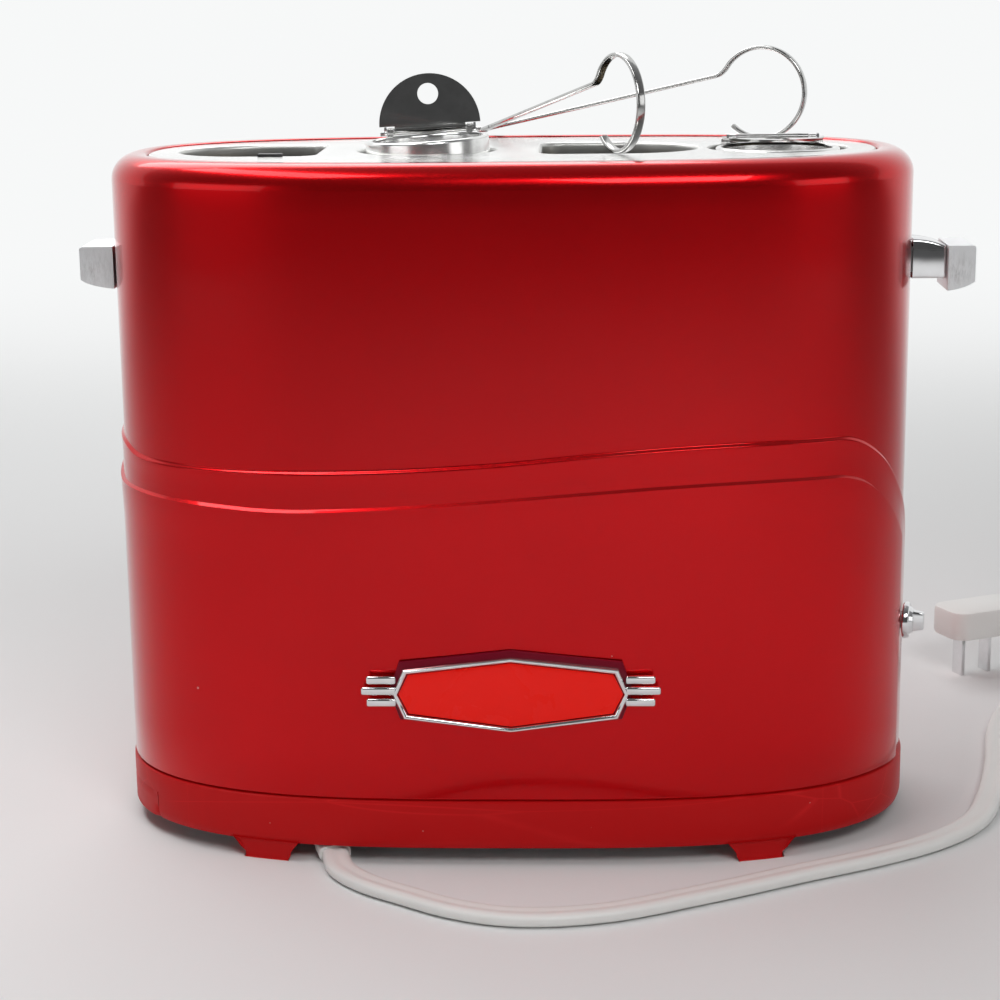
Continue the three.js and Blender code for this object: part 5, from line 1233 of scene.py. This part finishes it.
class TOASTER_OT_cages(Operator):
    """Build the two lift-out cages with their hinged flaps"""

    bl_idname = "toaster.cages"
    bl_label = "Cages and flaps"

    def execute(self, context):
        c = settings().cages
        top = settings().deck.top
        for number_, x, rise, tilt, fold in (
            (1, c.first_x, c.first_rise, c.tilt, 0.0),
            (2, c.second_x, c.second_rise, 0.0, math.pi / 2),
        ):
            place = Matrix.Translation((x, 0, top + rise)) @ Matrix.Rotation(-tilt, 4, "Y")
            hinge = place @ Matrix.Translation((0, c.hinge_y, c.hinge_rise))
            body = {1: "one", 2: "two"}[number_]
            bm = bmesh.new()
            self.cage(bm, c)
            bmesh.ops.transform(bm, matrix=place, verts=bm.verts)
            make_piece(
                f"cage_{number_}_basket", bm, finish("Polished cage"), f"cage_{body}", [f"cage_{number_}"])
            bm = bmesh.new()
            self.flap(bm, c)
            bmesh.ops.transform(bm, matrix=hinge @ Matrix.Rotation(fold, 4, "X"), verts=bm.verts)
            make_piece(
                f"flap_{number_}_leaf", bm, finish("Mirror flap"), f"flap_{body}", [f"flap_{number_}"])
            dress_nodes([f"flap_pin_{number_}"], "Bright plating")
        return {"FINISHED"}

    def cage(self, bm, c):
        inner = c.radius - c.wall
        r = c.wall / 2 - 0.0003
        profile = [(inner, -c.height), (c.radius, -c.height)]
        profile += [(c.radius - r + px, -r + pz) for px, pz in arc((0, 0), r, 0, 90, 6)]
        profile += [(inner + r + px, -r + pz) for px, pz in arc((0, 0), r, 90, 180, 6)]
        profile.append((inner, -c.height))
        spun(bm, profile, 96)
        bottom = -c.height - c.basket
        thick = 0.001
        hoop = [(inner - thick, bottom), (inner + thick / 4, bottom), (inner + thick / 4, bottom + 0.003),
                (inner - thick, bottom + 0.003), (inner - thick, bottom)]
        spun(bm, hoop, 64)
        for k in range(4):
            angle = (k + 0.5) * math.pi / 2
            strip = bmesh.new()
            block(strip, (inner - 0.75 * thick - 0.0001, -c.strip / 2, bottom + 0.0001),
                  (inner + 0.25 * thick - 0.0001, c.strip / 2, -c.height / 2), 0.0003)
            block(strip, (0, -c.strip / 2, bottom + 0.0001), (inner - thick / 2, c.strip / 2, bottom + thick), 0.0002)
            bmesh.ops.transform(strip, matrix=Matrix.Rotation(angle, 4, "Z"), verts=strip.verts)
            merge_into(bm, strip)
        root = math.sqrt(inner**2 - c.flap_neck**2)
        for side in (-1, 1):
            near = c.flap_neck + 0.0004
            low, high = sorted((side * near, side * (near + 0.002)))
            ear = bmesh.new()
            outline = [(root, -0.00015), (c.hinge_y + 0.001, -0.00015)]
            outline += [(c.hinge_y + py, c.hinge_rise + pz) for py, pz in arc((0, 0), 0.001, 0, 180, 12)]
            outline += [(c.hinge_y - 0.001, 0.0002), (root, 0.0002)]
            prism(ear, outline, low, high, lambda u, v, level: Vector((level, u, v)))
            merge_into(bm, ear)
        leaf = bmesh.new()
        back = c.hinge_y + c.barrel + 0.0001
        block(leaf, (-c.flap_radius, back, -0.0001), (c.flap_radius, back + 0.0005, 0.0011), 0.0001)
        merge_into(bm, leaf)

    def flap(self, bm, c):
        """A half disc with a finger hole, standing on its rolled barrel."""
        half = c.flap_sheet / 2
        outline = [(-c.flap_neck, 0.0009), (-c.flap_neck, c.flap_shoulder)]
        rise = c.flap_height - c.flap_shoulder
        for k in range(41):
            angle = math.pi * (1 - k / 40)
            outline.append((c.flap_radius * math.cos(angle), c.flap_shoulder + rise * math.sin(angle)))
        outline += [(c.flap_neck, c.flap_shoulder), (c.flap_neck, 0.0009)]
        hole = [(x, c.hole_height + z) for x, z in arc((0, 0), c.hole_radius, 0, 360 - 360 / 32, 31)]
        edges = first_ring(bm, [Vector((x, -half, z)) for x, z in outline])
        edges += first_ring(bm, [Vector((x, -half, z)) for x, z in hole])
        faces = bmesh.ops.triangle_fill(bm, use_beauty=True, use_dissolve=False, edges=edges)["geom"]
        faces = [item for item in faces if isinstance(item, bmesh.types.BMFace)]
        raised = bmesh.ops.extrude_face_region(bm, geom=faces, use_keep_orig=True)["geom"]
        bmesh.ops.translate(
            bm, vec=(0, c.flap_sheet, 0), verts=[item for item in raised if isinstance(item, bmesh.types.BMVert)])
        tube = [(c.barrel_bore, -c.flap_neck), (c.barrel, -c.flap_neck), (c.barrel, c.flap_neck),
                (c.barrel_bore, c.flap_neck), (c.barrel_bore, -c.flap_neck)]
        spun(bm, tube, 24, Matrix.Rotation(math.pi / 2, 4, "Y"))


def merge_into(bm, other):
    """Moves the faces of one bmesh into another."""
    mesh = bpy.data.meshes.new("part")
    other.to_mesh(mesh)
    other.free()
    bm.from_mesh(mesh)
    bpy.data.meshes.remove(mesh)


class TOASTER_OT_base(Operator):
    """Build the moulded base, its feet and the crumb tray"""

    bl_idname = "toaster.base"
    bl_label = "Base and crumb tray"

    def execute(self, context):
        b = settings().base
        outline = Outline(110, fine=False)
        bm = bmesh.new()
        inner = b.rise - b.wall
        profile = [
            (b.rise - b.tuck - 0.0008, b.bottom), (b.rise - b.tuck, b.bottom + 0.0002), (b.rise - 0.0003, b.bottom + 0.001),
            (b.rise - 0.00008, b.bottom + 0.0019), (b.rise, b.bottom + 0.003), (b.rise, b.top - 0.0008),
            (b.rise - 0.00015, b.top - 0.00035), (b.rise - 0.0005, b.top - 0.0001), (b.rise - 0.001, b.top), (-0.0014, b.top),
            (-0.0014, b.top + 0.004), (-0.0026, b.top + 0.004), (-0.0026, b.top - b.wall), (inner, b.top - 2 * b.wall),
            (inner, b.bottom),
        ]
        sweep(bm, [outline.ring(offset, height) for offset, height in profile], closed=True)
        skirt = make_piece("base_moulding", bm, finish("Red moulded plastic"), "housing", (), 40)
        cutter = bmesh.new()
        reach = settings().shell.half_length + 0.006
        block(cutter, (-reach, -b.tray_front - 0.0003, 0), (-b.tray_right, b.tray_front + 0.0003, b.tray_top + 0.0003))
        cut_away(skirt, cutter)
        self.feet(b)
        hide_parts("base_skirt")
        self.tray(b)
        return {"FINISHED"}

    def feet(self, b):
        bm = bmesh.new()
        for side_x in (-1, 1):
            for side_y in (-1, 1):
                foot = bmesh.new()
                made = bmesh.ops.create_grid(foot, x_segments=10, y_segments=4, size=0.5)["verts"]
                raised = bmesh.ops.extrude_face_region(foot, geom=list(foot.faces), use_keep_orig=True)["geom"]
                bmesh.ops.translate(
                    foot, vec=(0, 0, 1), verts=[item for item in raised if isinstance(item, bmesh.types.BMVert)])
                bmesh.ops.subdivide_edges(
                    foot, edges=[e for e in foot.edges if abs(e.verts[0].co.z - e.verts[1].co.z) > 0.5], cuts=3)
                for vert in foot.verts:
                    u, v, w = vert.co
                    half = (b.foot_bottom + (b.foot_top - b.foot_bottom) * w**1.5) / 2
                    x = side_x * b.foot_x + 2 * u * half
                    outer = depth_at(x, b.rise - b.tuck * (1.6 - w))
                    y = side_y * (outer - (0.5 - v) * b.foot_depth)
                    vert.co = (x, y, w * (b.bottom + 0.0006))
                round_edges(
                    foot, [e for e in foot.edges if e.is_manifold and e.calc_face_angle(0) > math.radians(50)], 0.0006, 2)
                merge_into(bm, foot)
        make_piece("base_feet", bm, finish("Red moulded plastic"), "housing", (), 40)

    def tray(self, b):
        bm = bmesh.new()
        front = bmesh.ops.create_grid(bm, x_segments=36, y_segments=6, size=0.5)["verts"]
        raised = bmesh.ops.extrude_face_region(bm, geom=list(bm.faces), use_keep_orig=True)["geom"]
        bmesh.ops.translate(bm, vec=(0, 0, 1), verts=[item for item in raised if isinstance(item, bmesh.types.BMVert)])
        low, high = b.bottom + 0.0003, b.tray_top
        for vert in bm.verts:
            u, v, w = vert.co
            y = 2 * u * b.tray_front
            height = low + (v + 0.5) * (high - low)
            tuck = b.tuck * max(0, 1 - (height - b.bottom) / 0.002)
            offset = b.rise - tuck if w > 0.5 else b.rise - 0.0047
            vert.co = (-reach_at(y, offset), y, height)
        round_edges(bm, [e for e in bm.edges if e.is_manifold and e.calc_face_angle(0) > math.radians(55)], 0.0005, 2)
        pan = bmesh.new()
        left = -settings().shell.half_length + 0.0094
        floor, top = b.tray_floor, b.tray_floor + b.tray_wall
        box = bmesh.ops.create_cube(pan, size=1)["verts"]
        for vert in box:
            x = left if vert.co.x < 0 else b.tray_right
            y = math.copysign(b.tray_half_width, vert.co.y)
            if vert.co.x < 0:
                y *= 0.8
            vert.co = (x, y, floor if vert.co.z < 0 else top)
        lid = [f for f in pan.faces if f.normal.z > 0.5]
        bmesh.ops.inset_region(pan, faces=lid, thickness=0.0008, use_even_offset=True)
        bmesh.ops.translate(pan, vec=(0, 0, -b.tray_wall + 0.0008), verts=list({v for f in lid for v in f.verts}))
        merge_into(bm, pan)
        make_piece("tray_piece", bm, finish("Red moulded plastic"), "tray", ["crumb_tray"], 40)


class TOASTER_OT_handles(Operator):
    """Build the left grip and the lever with its worn cap"""

    bl_idname = "toaster.handles"
    bl_label = "Grip and lever"

    def execute(self, context):
        h = settings().handles
        body = settings().shell.half_length
        self.grip("left_grip", -body - 0.0003, -h.left_reach, h.left_bottom, h.left_top, "Worn left grip",
                  "housing", "left_handle", h)
        self.grip("lever_grip", h.arm_reach, h.arm_reach + h.cap_length, h.cap_bottom, h.cap_top, "Worn lever cap",
                  "lever", "lever_cap", h)
        self.arm(h, body + 0.0006)
        return {"FINISHED"}

    def grip(self, name, inner, outer, low, high, finish_name, body, node, h):
        way = math.copysign(1, outer - inner)
        points = [(inner, low)]
        for k in range(1, 11):
            t = k / 10
            x = (1 - t) ** 2 * inner + 2 * t * (1 - t) * (outer - way * h.tuck) + t * t * outer
            z = (1 - t) ** 2 * low + 2 * t * (1 - t) * (low + h.tuck / 4) + t * t * (low + h.tuck)
            points.append((x, z))
        points.append((outer, high - h.tuck / 3))
        for k in range(1, 6):
            angle = math.radians(90 * k / 5)
            points.append((outer - way * h.tuck / 3 * (1 - math.cos(angle)), high - h.tuck / 3 * (1 - math.sin(angle))))
        points.append((inner, high))
        bm = bmesh.new()
        prism(bm, points, -h.half_width, h.half_width, lambda u, v, level: Vector((u, level, v)))
        sides = [
            e for e in bm.edges
            if e.calc_face_angle(0) > math.radians(60) and min(v.co.x * way for v in e.verts) > inner * way + 0.0002
        ]
        round_edges(bm, sides, h.edge, 4)
        make_piece(name, bm, finish(finish_name), body, [node], 50)

    def arm(self, h, inner):
        outer = h.arm_reach - 0.0003
        bm = bmesh.new()
        points = [(inner, h.arm_bottom), (outer, h.arm_bottom), (outer, h.arm_top - 0.0022)]
        for k in range(1, 9):
            t = k / 8
            x = outer + (inner - outer) * t
            z = h.arm_top - 0.0022 * (1 - t) ** 2
            points.append((x, z))
        prism(bm, points, -h.arm_half_width, h.arm_half_width, lambda u, v, level: Vector((u, level, v)))
        long_edges = [e for e in bm.edges if e.calc_face_angle(0) > math.radians(60) and abs(e.verts[0].co.y - e.verts[1].co.y) < 1e-6]
        round_edges(bm, [e for e in long_edges if abs(e.verts[0].co.x - e.verts[1].co.x) > 1e-4], 0.001, 4)
        make_piece("lever_arm_piece", bm, finish("Bright plating"), "lever", ["lever_arm"], 50)


class TOASTER_OT_dial(Operator):
    """Build the timer dial"""

    bl_idname = "toaster.dial"
    bl_label = "Timer dial"

    def execute(self, context):
        d = settings().dial
        centre, outward = dial_seat()
        place = frame_matrix(centre + outward * 0.0006, outward)
        bm = bmesh.new()
        low, rim = 0.0, d.thickness
        profile = [
            (0, low), (d.radius - 0.0004, low), (d.radius, low + 0.0004), (d.radius, rim * 0.45), (d.radius - 0.0003, rim * 0.7),
            (d.radius - 0.0009, rim * 0.8), (d.radius - 0.0012, rim * 0.72), (d.radius - 0.0016, rim * 0.85),
            (d.radius * 0.62, rim + d.dome * 0.75), (d.radius * 0.3, rim + d.dome), (0, rim + d.dome),
        ]
        verts = spun(bm, profile, d.facets * 4)
        for vert in verts:
            radius = math.hypot(vert.co.x, vert.co.y)
            if d.radius * 0.55 < radius < d.radius - 0.0013 and vert.co.z > rim * 0.8:
                turn = math.atan2(vert.co.y, vert.co.x) * d.facets / (2 * math.pi)
                vert.co.z += 0.00025 * (0.5 - abs(turn - math.floor(turn) - 0.5))
        grip = bmesh.new()
        made = bmesh.ops.create_cube(grip, size=1)["verts"]
        for vert in made:
            tall = d.grip_height if vert.co.z < 0 else d.grip_tip
            thick = d.grip_width if vert.co.z < 0 else d.grip_width * 0.72
            vert.co = (vert.co.x * thick, vert.co.y * tall, rim if vert.co.z < 0 else rim + d.grip_reach)
        round_edges(grip, list(grip.edges), 0.0005, 3)
        merge_into(bm, grip)
        bmesh.ops.transform(bm, matrix=place, verts=bm.verts)
        make_piece("dial_cap", bm, finish("Bright plating"), "dial", ["timer_dial"], 28)
        dress_nodes(["dial_shaft"], "Plain steel")
        return {"FINISHED"}


def badge_outline(grow):
    b = settings().badge
    share = (b.half_width + grow) / b.half_width

    def rise(height):
        return height + (grow if height > b.tip else -grow)

    return [
        (-b.half_width * share, b.tip), (-b.shoulder * share, rise(b.bottom_shoulder)), (0, rise(b.bottom)),
        (b.shoulder * share, rise(b.bottom_shoulder)), (b.half_width * share, b.tip),
        (b.shoulder * share, rise(b.top_shoulder)), (0, rise(b.top)), (-b.shoulder * share, rise(b.top_shoulder)),
    ]


class TOASTER_OT_badge(Operator):
    """Build the bare enamel badge in its bright frame"""

    bl_idname = "toaster.badge"
    bl_label = "Badge"

    def execute(self, context):
        b = settings().badge
        s = settings().shell
        face = -s.half_depth - s.panel_rise - 0.0003
        front = face - b.backing

        def place(u, v, level):
            return Vector((u, level, v))

        bm = bmesh.new()
        prism(bm, [(u, v + b.backing_shift) for u, v in badge_outline(b.backing_grow)], front, face, place)
        round_edges(bm, [e for e in bm.edges if all(abs(v.co.y - front) < 1e-6 for v in e.verts)], 0.0004, 2)
        make_piece("badge_back", bm, finish("Badge backing"), "housing", ["badge_backing"])

        back = front - 0.0003
        crest = back - b.frame_thickness
        bm = bmesh.new()
        rings = []
        for grow, level in (
            (0, back), (0, crest + 0.0007), (-0.00012, crest + 0.00035), (-0.0004, crest + 0.00005), (-0.0007, crest),
            (-b.rim + 0.0005, crest + 0.0001), (-b.rim + 0.00015, crest + 0.0004), (-b.rim, crest + 0.0008), (-b.rim, back),
        ):
            rings.append([place(u, v, level) for u, v in badge_outline(grow)])
        sweep(bm, rings, closed=True)
        for height, reach in ((0.0638, 0.0456), (0.0602, 0.0473), (0.0564, 0.0456)):
            for side in (-1, 1):
                low, high = sorted((side * (b.shoulder + 0.0022), side * reach))
                bar = bmesh.new()
                block(bar, (low, crest, height - b.bar / 2), (high, back, height + b.bar / 2), 0.0007, 4)
                merge_into(bm, bar)
        make_piece("badge_trim", bm, finish("Bright plating"), "housing", ["badge_frame"], 30)

        bm = bmesh.new()
        rings = [
            [place(u, v, level) for u, v in badge_outline(grow)]
            for grow, level in (
                (-b.rim - 0.0003, back), (-b.rim - 0.0003, back - b.enamel * 0.62), (-b.rim - 0.0006, back - b.enamel * 0.7),
                (-b.rim - 0.0016, back - b.enamel * 0.78), (-b.rim - 0.004, back - b.enamel),
            )
        ]
        sweep(bm, rings, caps=True)
        make_piece("badge_panel", bm, finish("Badge enamel"), "housing", ["badge_enamel"], 30)
        return {"FINISHED"}


class TOASTER_OT_tongs(Operator):
    """Build the tongs that lie on the deck"""

    bl_idname = "toaster.tongs"
    bl_label = "Tongs"

    def execute(self, context):
        t = settings().tongs
        place = Matrix.Translation((t.bend_x, t.bend_y, t.bend_z))
        path = self.path(t)
        for name, angle, start, body, node in (
            ("tong_far", t.far, 0.0, "tongs", "tong_arm_far"),
            ("tong_near", t.near, t.heel + t.gap, "near_arm", "tong_arm_near"),
        ):
            bm = bmesh.new()
            points = [path[1].normalized() * start] + path[1:]
            self.strip(bm, points, t)
            turn = place @ Matrix.Rotation(angle, 4, "Z")
            bmesh.ops.transform(bm, matrix=turn, verts=bm.verts)
            if node == "tong_arm_far":
                heel = bmesh.new()
                self.strip(heel, [Vector((0, 0)), path[1].normalized() * t.heel], t)
                bmesh.ops.transform(heel, matrix=place @ Matrix.Rotation(t.near, 4, "Z"), verts=heel.verts)
                merge_into(bm, heel)
                bow = bmesh.new()
                half = t.thickness / 2
                spun(bow, [(0, -half), (0.0017, -half), (0.002, -half * 0.6), (0.002, half * 0.6), (0.0017, half), (0, half)],
                     32, place)
                merge_into(bm, bow)
            make_piece(name, bm, finish("Tong strip"), body, [node], 50)
        return {"FINISHED"}

    def path(self, t):
        """The side view of an arm: along and up from its bend, round the loop."""
        centre = Vector((t.arm, settings().deck.top + 0.0003 + t.thickness / 2 + t.loop_radius - t.bend_z))
        loop = [Vector(p) for p in arc(centre, t.loop_radius, 157, -132, 96)]
        shoulder = loop[0]
        points = [shoulder * share for share in (0, 0.2, 0.4, 0.6, 0.8, 0.9, 0.95)]
        start, end = shoulder - shoulder.normalized() * t.shoulder, loop[5]
        for k in range(13):
            share = k / 12
            points.append(start.lerp(shoulder, share).lerp(shoulder.lerp(end, share), share))
        return points + loop[6:]

    def strip(self, bm, points, t):
        section = []
        radius = 0.0005
        wide, thick = t.width / 2, t.thickness / 2
        for cx, cy, start in ((wide - radius, thick - radius, 0), (radius - wide, thick - radius, 90),
                              (radius - wide, radius - thick, 180), (wide - radius, radius - thick, 270)):
            section += arc((cx, cy), radius, start, start + 90, 3)
        rings = []
        for k, point in enumerate(points):
            ahead = (points[min(k + 1, len(points) - 1)] - points[max(k - 1, 0)]).normalized()
            up = Vector((-ahead.y, ahead.x))
            rings.append([Vector((point.x + up.x * v, u, point.y + up.y * v)) for u, v in section])
        sweep(bm, rings, caps=True)


class TOASTER_OT_inside(Operator):
    """Dress the chassis and build the element boards"""

    bl_idname = "toaster.inside"
    bl_label = "Inside parts"

    def execute(self, context):
        dress_nodes(
            ["bottom_plate", "chassis_front", "chassis_rear", "chassis_deck", "chassis_left_end", "chassis_right_end",
             "carriage", "bun_rack", "guide_rod_front", "guide_rod_rear", "base_screw_front_left",
             "base_screw_front_right", "base_screw_rear_left", "base_screw_rear_right"], "Plain steel")
        dress_nodes(["latch_magnet", "timer_pot"], "Black plastic")
        dress_nodes(["control_board"], "Circuit board")
        self.spring()
        for name in ("element_left_end", "element_left", "element_middle", "element_right", "element_right_end"):
            self.element(name)
        return {"FINISHED"}

    def spring(self):
        low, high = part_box("lift_spring")
        radius = (high.x - low.x) / 2 - 0.00045
        centre = (low + high) / 2
        turns = 10
        steps = turns * 24
        bm = bmesh.new()
        rings = []
        for k in range(steps + 1):
            angle = 2 * math.pi * turns * k / steps
            middle = Vector((
                centre.x + radius * math.cos(angle), centre.y + radius * math.sin(angle),
                low.z + 0.00045 + (high.z - low.z - 0.0009) * k / steps))
            out = Vector((math.cos(angle), math.sin(angle), 0))
            rings.append([middle + out * u + Vector((0, 0, v)) for u, v in arc((0, 0), 0.00043, 0, 315, 7)])
        sweep(bm, rings, caps=True)
        make_piece("lift_spring_wire", bm, finish("Plain steel"), "housing", ["lift_spring"], 60, placed=False)

    def element(self, name):
        """A mica board wound with flat heating ribbon."""
        low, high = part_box(name)
        bm = bmesh.new()
        block(bm, low, high, 0.0001)
        for face in bm.faces:
            face.material_index = 0
        turns = 17
        for k in range(turns):
            z = low.z + (high.z - low.z) * (k + 0.7) / (turns + 0.4)
            inset = 0.006 + 0.0008 * (k % 2)
            for x, out in ((low.x, -1), (high.x, 1)):
                ribbon = bmesh.new()
                near, far = sorted((x, x + out * 0.00025))
                block(ribbon, (near, low.y + inset, z - 0.0006), (far, high.y - inset, z + 0.0006))
                for face in ribbon.faces:
                    face.material_index = 1
                merge_into(bm, ribbon)
        make_piece(
            name + "_board", bm, [finish("Mica board"), finish("Plain steel")], "housing", [name],
            placed=False)


class TOASTER_OT_stage(Operator):
    """Set up the floor, the backdrop and the studio light"""

    bl_idname = "toaster.stage"
    bl_label = "Stage and light"

    def execute(self, context):
        scene = context.scene
        scene.view_settings.view_transform = "Standard"
        bm = bmesh.new()
        profile = [(-20.0, 0.0), (0.9, 0.0)]
        profile += [(0.9 + py, 1.0 + pz) for py, pz in arc((0, 0), 1.0, -90, 0, 16)]
        profile.append((1.9, 4.0))
        verts = [bm.verts.new((-30, y, z)) for y, z in profile]
        edges = [bm.edges.new(pair) for pair in zip(verts, verts[1:])]
        made = bmesh.ops.extrude_edge_only(bm, edges=edges)["geom"]
        bmesh.ops.translate(bm, vec=(60, 0, 0), verts=[item for item in made if isinstance(item, bmesh.types.BMVert)])
        for face in bm.faces:
            face.smooth = True
        mesh = bpy.data.meshes.new("floor")
        bm.to_mesh(mesh)
        bm.free()
        mesh.materials.append(self.paper())
        floor = bpy.data.objects.new("floor", mesh)
        scene.collection.objects.link(floor)
        self.world(scene)
        self.lamp("top_light", (-0.4, -0.12, 1.0), (-0.1, 0.0, 0.2), 0.8, 0.2, 3.5)
        self.lamp("back_light", (-0.35, 0.8, 1.1), (0, -0.15, 0.0), 1.1, 0.6, 7)
        self.lamp("front_light", (0.28, -0.85, 0.8), (0.22, -0.65, 0.0), 0.5, 0.4, 4.5)
        self.lamp("left_light", (-1.2, -0.95, 0.42), (0, 0, 0.14), 1.0, 0.5, 2.0)
        self.lamp("right_light", (1.3, -0.85, 0.42), (0, 0, 0.14), 0.7, 0.5, 1.5)
        return {"FINISHED"}

    def paper(self):
        """Pale paper that turns white behind the object, with painted shade that darkens its colour far in front of it.
        """
        f = settings().finishes
        material, tree, shader = new_finish("Studio paper")
        place = add_node(tree, "ShaderNodeTexCoord")
        split = add_node(tree, "ShaderNodeSeparateXYZ", None, {"Vector": place.outputs["Object"]})
        # Painted shade: far in front of the object the paper's colour is blended towards near black, standing in for
        # light that falls off there.
        dark = add_node(tree, "ShaderNodeMapRange", {"interpolation_type": "SMOOTHSTEP"}, {
            "Value": split.outputs["Y"], "From Min": -1.9, "From Max": -0.75, "To Min": 0.55, "To Max": 0.0})
        tree.links.new(blended(tree, dark.outputs[0], f.floor, (0.05, 0.05, 0.05)), shader.inputs["Base Color"])
        shader.inputs["Roughness"].default_value = 0.8
        shader.inputs["Specular IOR Level"].default_value = 0.0
        seen = add_node(tree, "ShaderNodeLightPath")
        rays = add_node(tree, "ShaderNodeMath", {"operation": "ADD"}, {
            0: seen.outputs["Is Camera Ray"], 1: seen.outputs["Is Glossy Ray"]})
        rays = add_node(tree, "ShaderNodeMath", {"operation": "ADD", "use_clamp": True}, {
            0: rays.outputs[0], 1: seen.outputs["Is Transmission Ray"]})
        back = add_node(tree, "ShaderNodeMapRange", {"interpolation_type": "SMOOTHSTEP"}, {
            "Value": split.outputs["Y"], "From Min": 0.2, "From Max": 1.2, "To Min": 0.0, "To Max": 1.0})
        share = add_node(tree, "ShaderNodeMath", {"operation": "MULTIPLY"}, {0: rays.outputs[0], 1: back.outputs["Result"]})
        white = add_node(tree, "ShaderNodeEmission")
        white.inputs["Color"].default_value = (0.93, 0.94, 0.94, 1)
        joined = add_node(tree, "ShaderNodeMixShader", None, {0: share.outputs[0], 1: shader.outputs["BSDF"], 2: white.outputs[0]})
        tree.links.new(joined.outputs[0], tree.nodes["Material Output"].inputs["Surface"])
        return material

    def world(self, scene):
        """A soft room light that is strongest behind the object."""
        world = bpy.data.worlds.new("studio")
        scene.world = world
        world.use_nodes = True
        tree = world.node_tree
        background = tree.nodes["Background"]
        place = add_node(tree, "ShaderNodeTexCoord")
        split = add_node(tree, "ShaderNodeSeparateXYZ", None, {"Vector": place.outputs["Generated"]})
        front = add_node(tree, "ShaderNodeMapRange", {"interpolation_type": "SMOOTHSTEP"}, {
            "Value": split.outputs["Y"], "From Min": -0.95, "From Max": -0.6, "To Min": 1.0, "To Max": 0.0})
        back = add_node(tree, "ShaderNodeMapRange", {"interpolation_type": "SMOOTHSTEP"}, {
            "Value": split.outputs["Y"], "From Min": -0.6, "From Max": 0.5, "To Min": 0.0, "To Max": 1.0})
        wall = blended(tree, back.outputs["Result"], (0.22, 0.22, 0.22), (0.7, 0.71, 0.72))
        tree.links.new(blended(tree, front.outputs["Result"], wall, (0.14, 0.14, 0.14)), background.inputs["Color"])
        background.inputs["Strength"].default_value = 0.5

    def lamp(self, name, place, target, wide, tall, power):
        data = bpy.data.lights.new(name, "AREA")
        data.shape = "RECTANGLE"
        data.size = wide
        data.size_y = tall
        data.energy = power
        lamp = bpy.data.objects.new(name, data)
        bpy.context.scene.collection.objects.link(lamp)
        way = Vector(target) - Vector(place)
        lamp.location = place
        lamp.rotation_euler = way.to_track_quat("-Z", "Y").to_euler()


class TOASTER_PT_panel(Panel):
    """Lists the toaster's pieces"""

    bl_idname = "TOASTER_PT_panel"
    bl_label = "Hot Dog Toaster"
    bl_space_type = "VIEW_3D"
    bl_region_type = "UI"
    bl_category = "Toaster"

    def draw(self, context):
        for operator in OPERATORS:
            self.layout.operator(operator.bl_idname)


OPERATORS = (
    TOASTER_OT_camera, TOASTER_OT_cord, TOASTER_OT_shell, TOASTER_OT_deck, TOASTER_OT_cages, TOASTER_OT_base,
    TOASTER_OT_handles, TOASTER_OT_dial, TOASTER_OT_badge, TOASTER_OT_tongs, TOASTER_OT_inside, TOASTER_OT_stage,
)
GROUPS = (
    ShellSizes, DeckSizes, CageSizes, BaseSizes, HandleSizes, DialSizes, BadgeSizes, TongSizes, CordSizes, Finishes,
    ToasterSettings,
)
CLASSES = (*GROUPS, *OPERATORS, TOASTER_PT_panel)


def register():
    for cls in CLASSES:
        bpy.utils.register_class(cls)
    bpy.types.Scene.hot_dog_toaster = PointerProperty(type=ToasterSettings)


def unregister():
    del bpy.types.Scene.hot_dog_toaster
    for cls in reversed(CLASSES):
        bpy.utils.unregister_class(cls)


def main():
    register()
    bpy.ops.toaster.camera()
    bpy.ops.toaster.cord()
    bpy.ops.toaster.shell()
    bpy.ops.toaster.deck()
    bpy.ops.toaster.cages()
    bpy.ops.toaster.base()
    bpy.ops.toaster.handles()
    bpy.ops.toaster.dial()
    bpy.ops.toaster.badge()
    bpy.ops.toaster.tongs()
    bpy.ops.toaster.inside()
    bpy.ops.toaster.stage()


if __name__ == "__main__":
    main()
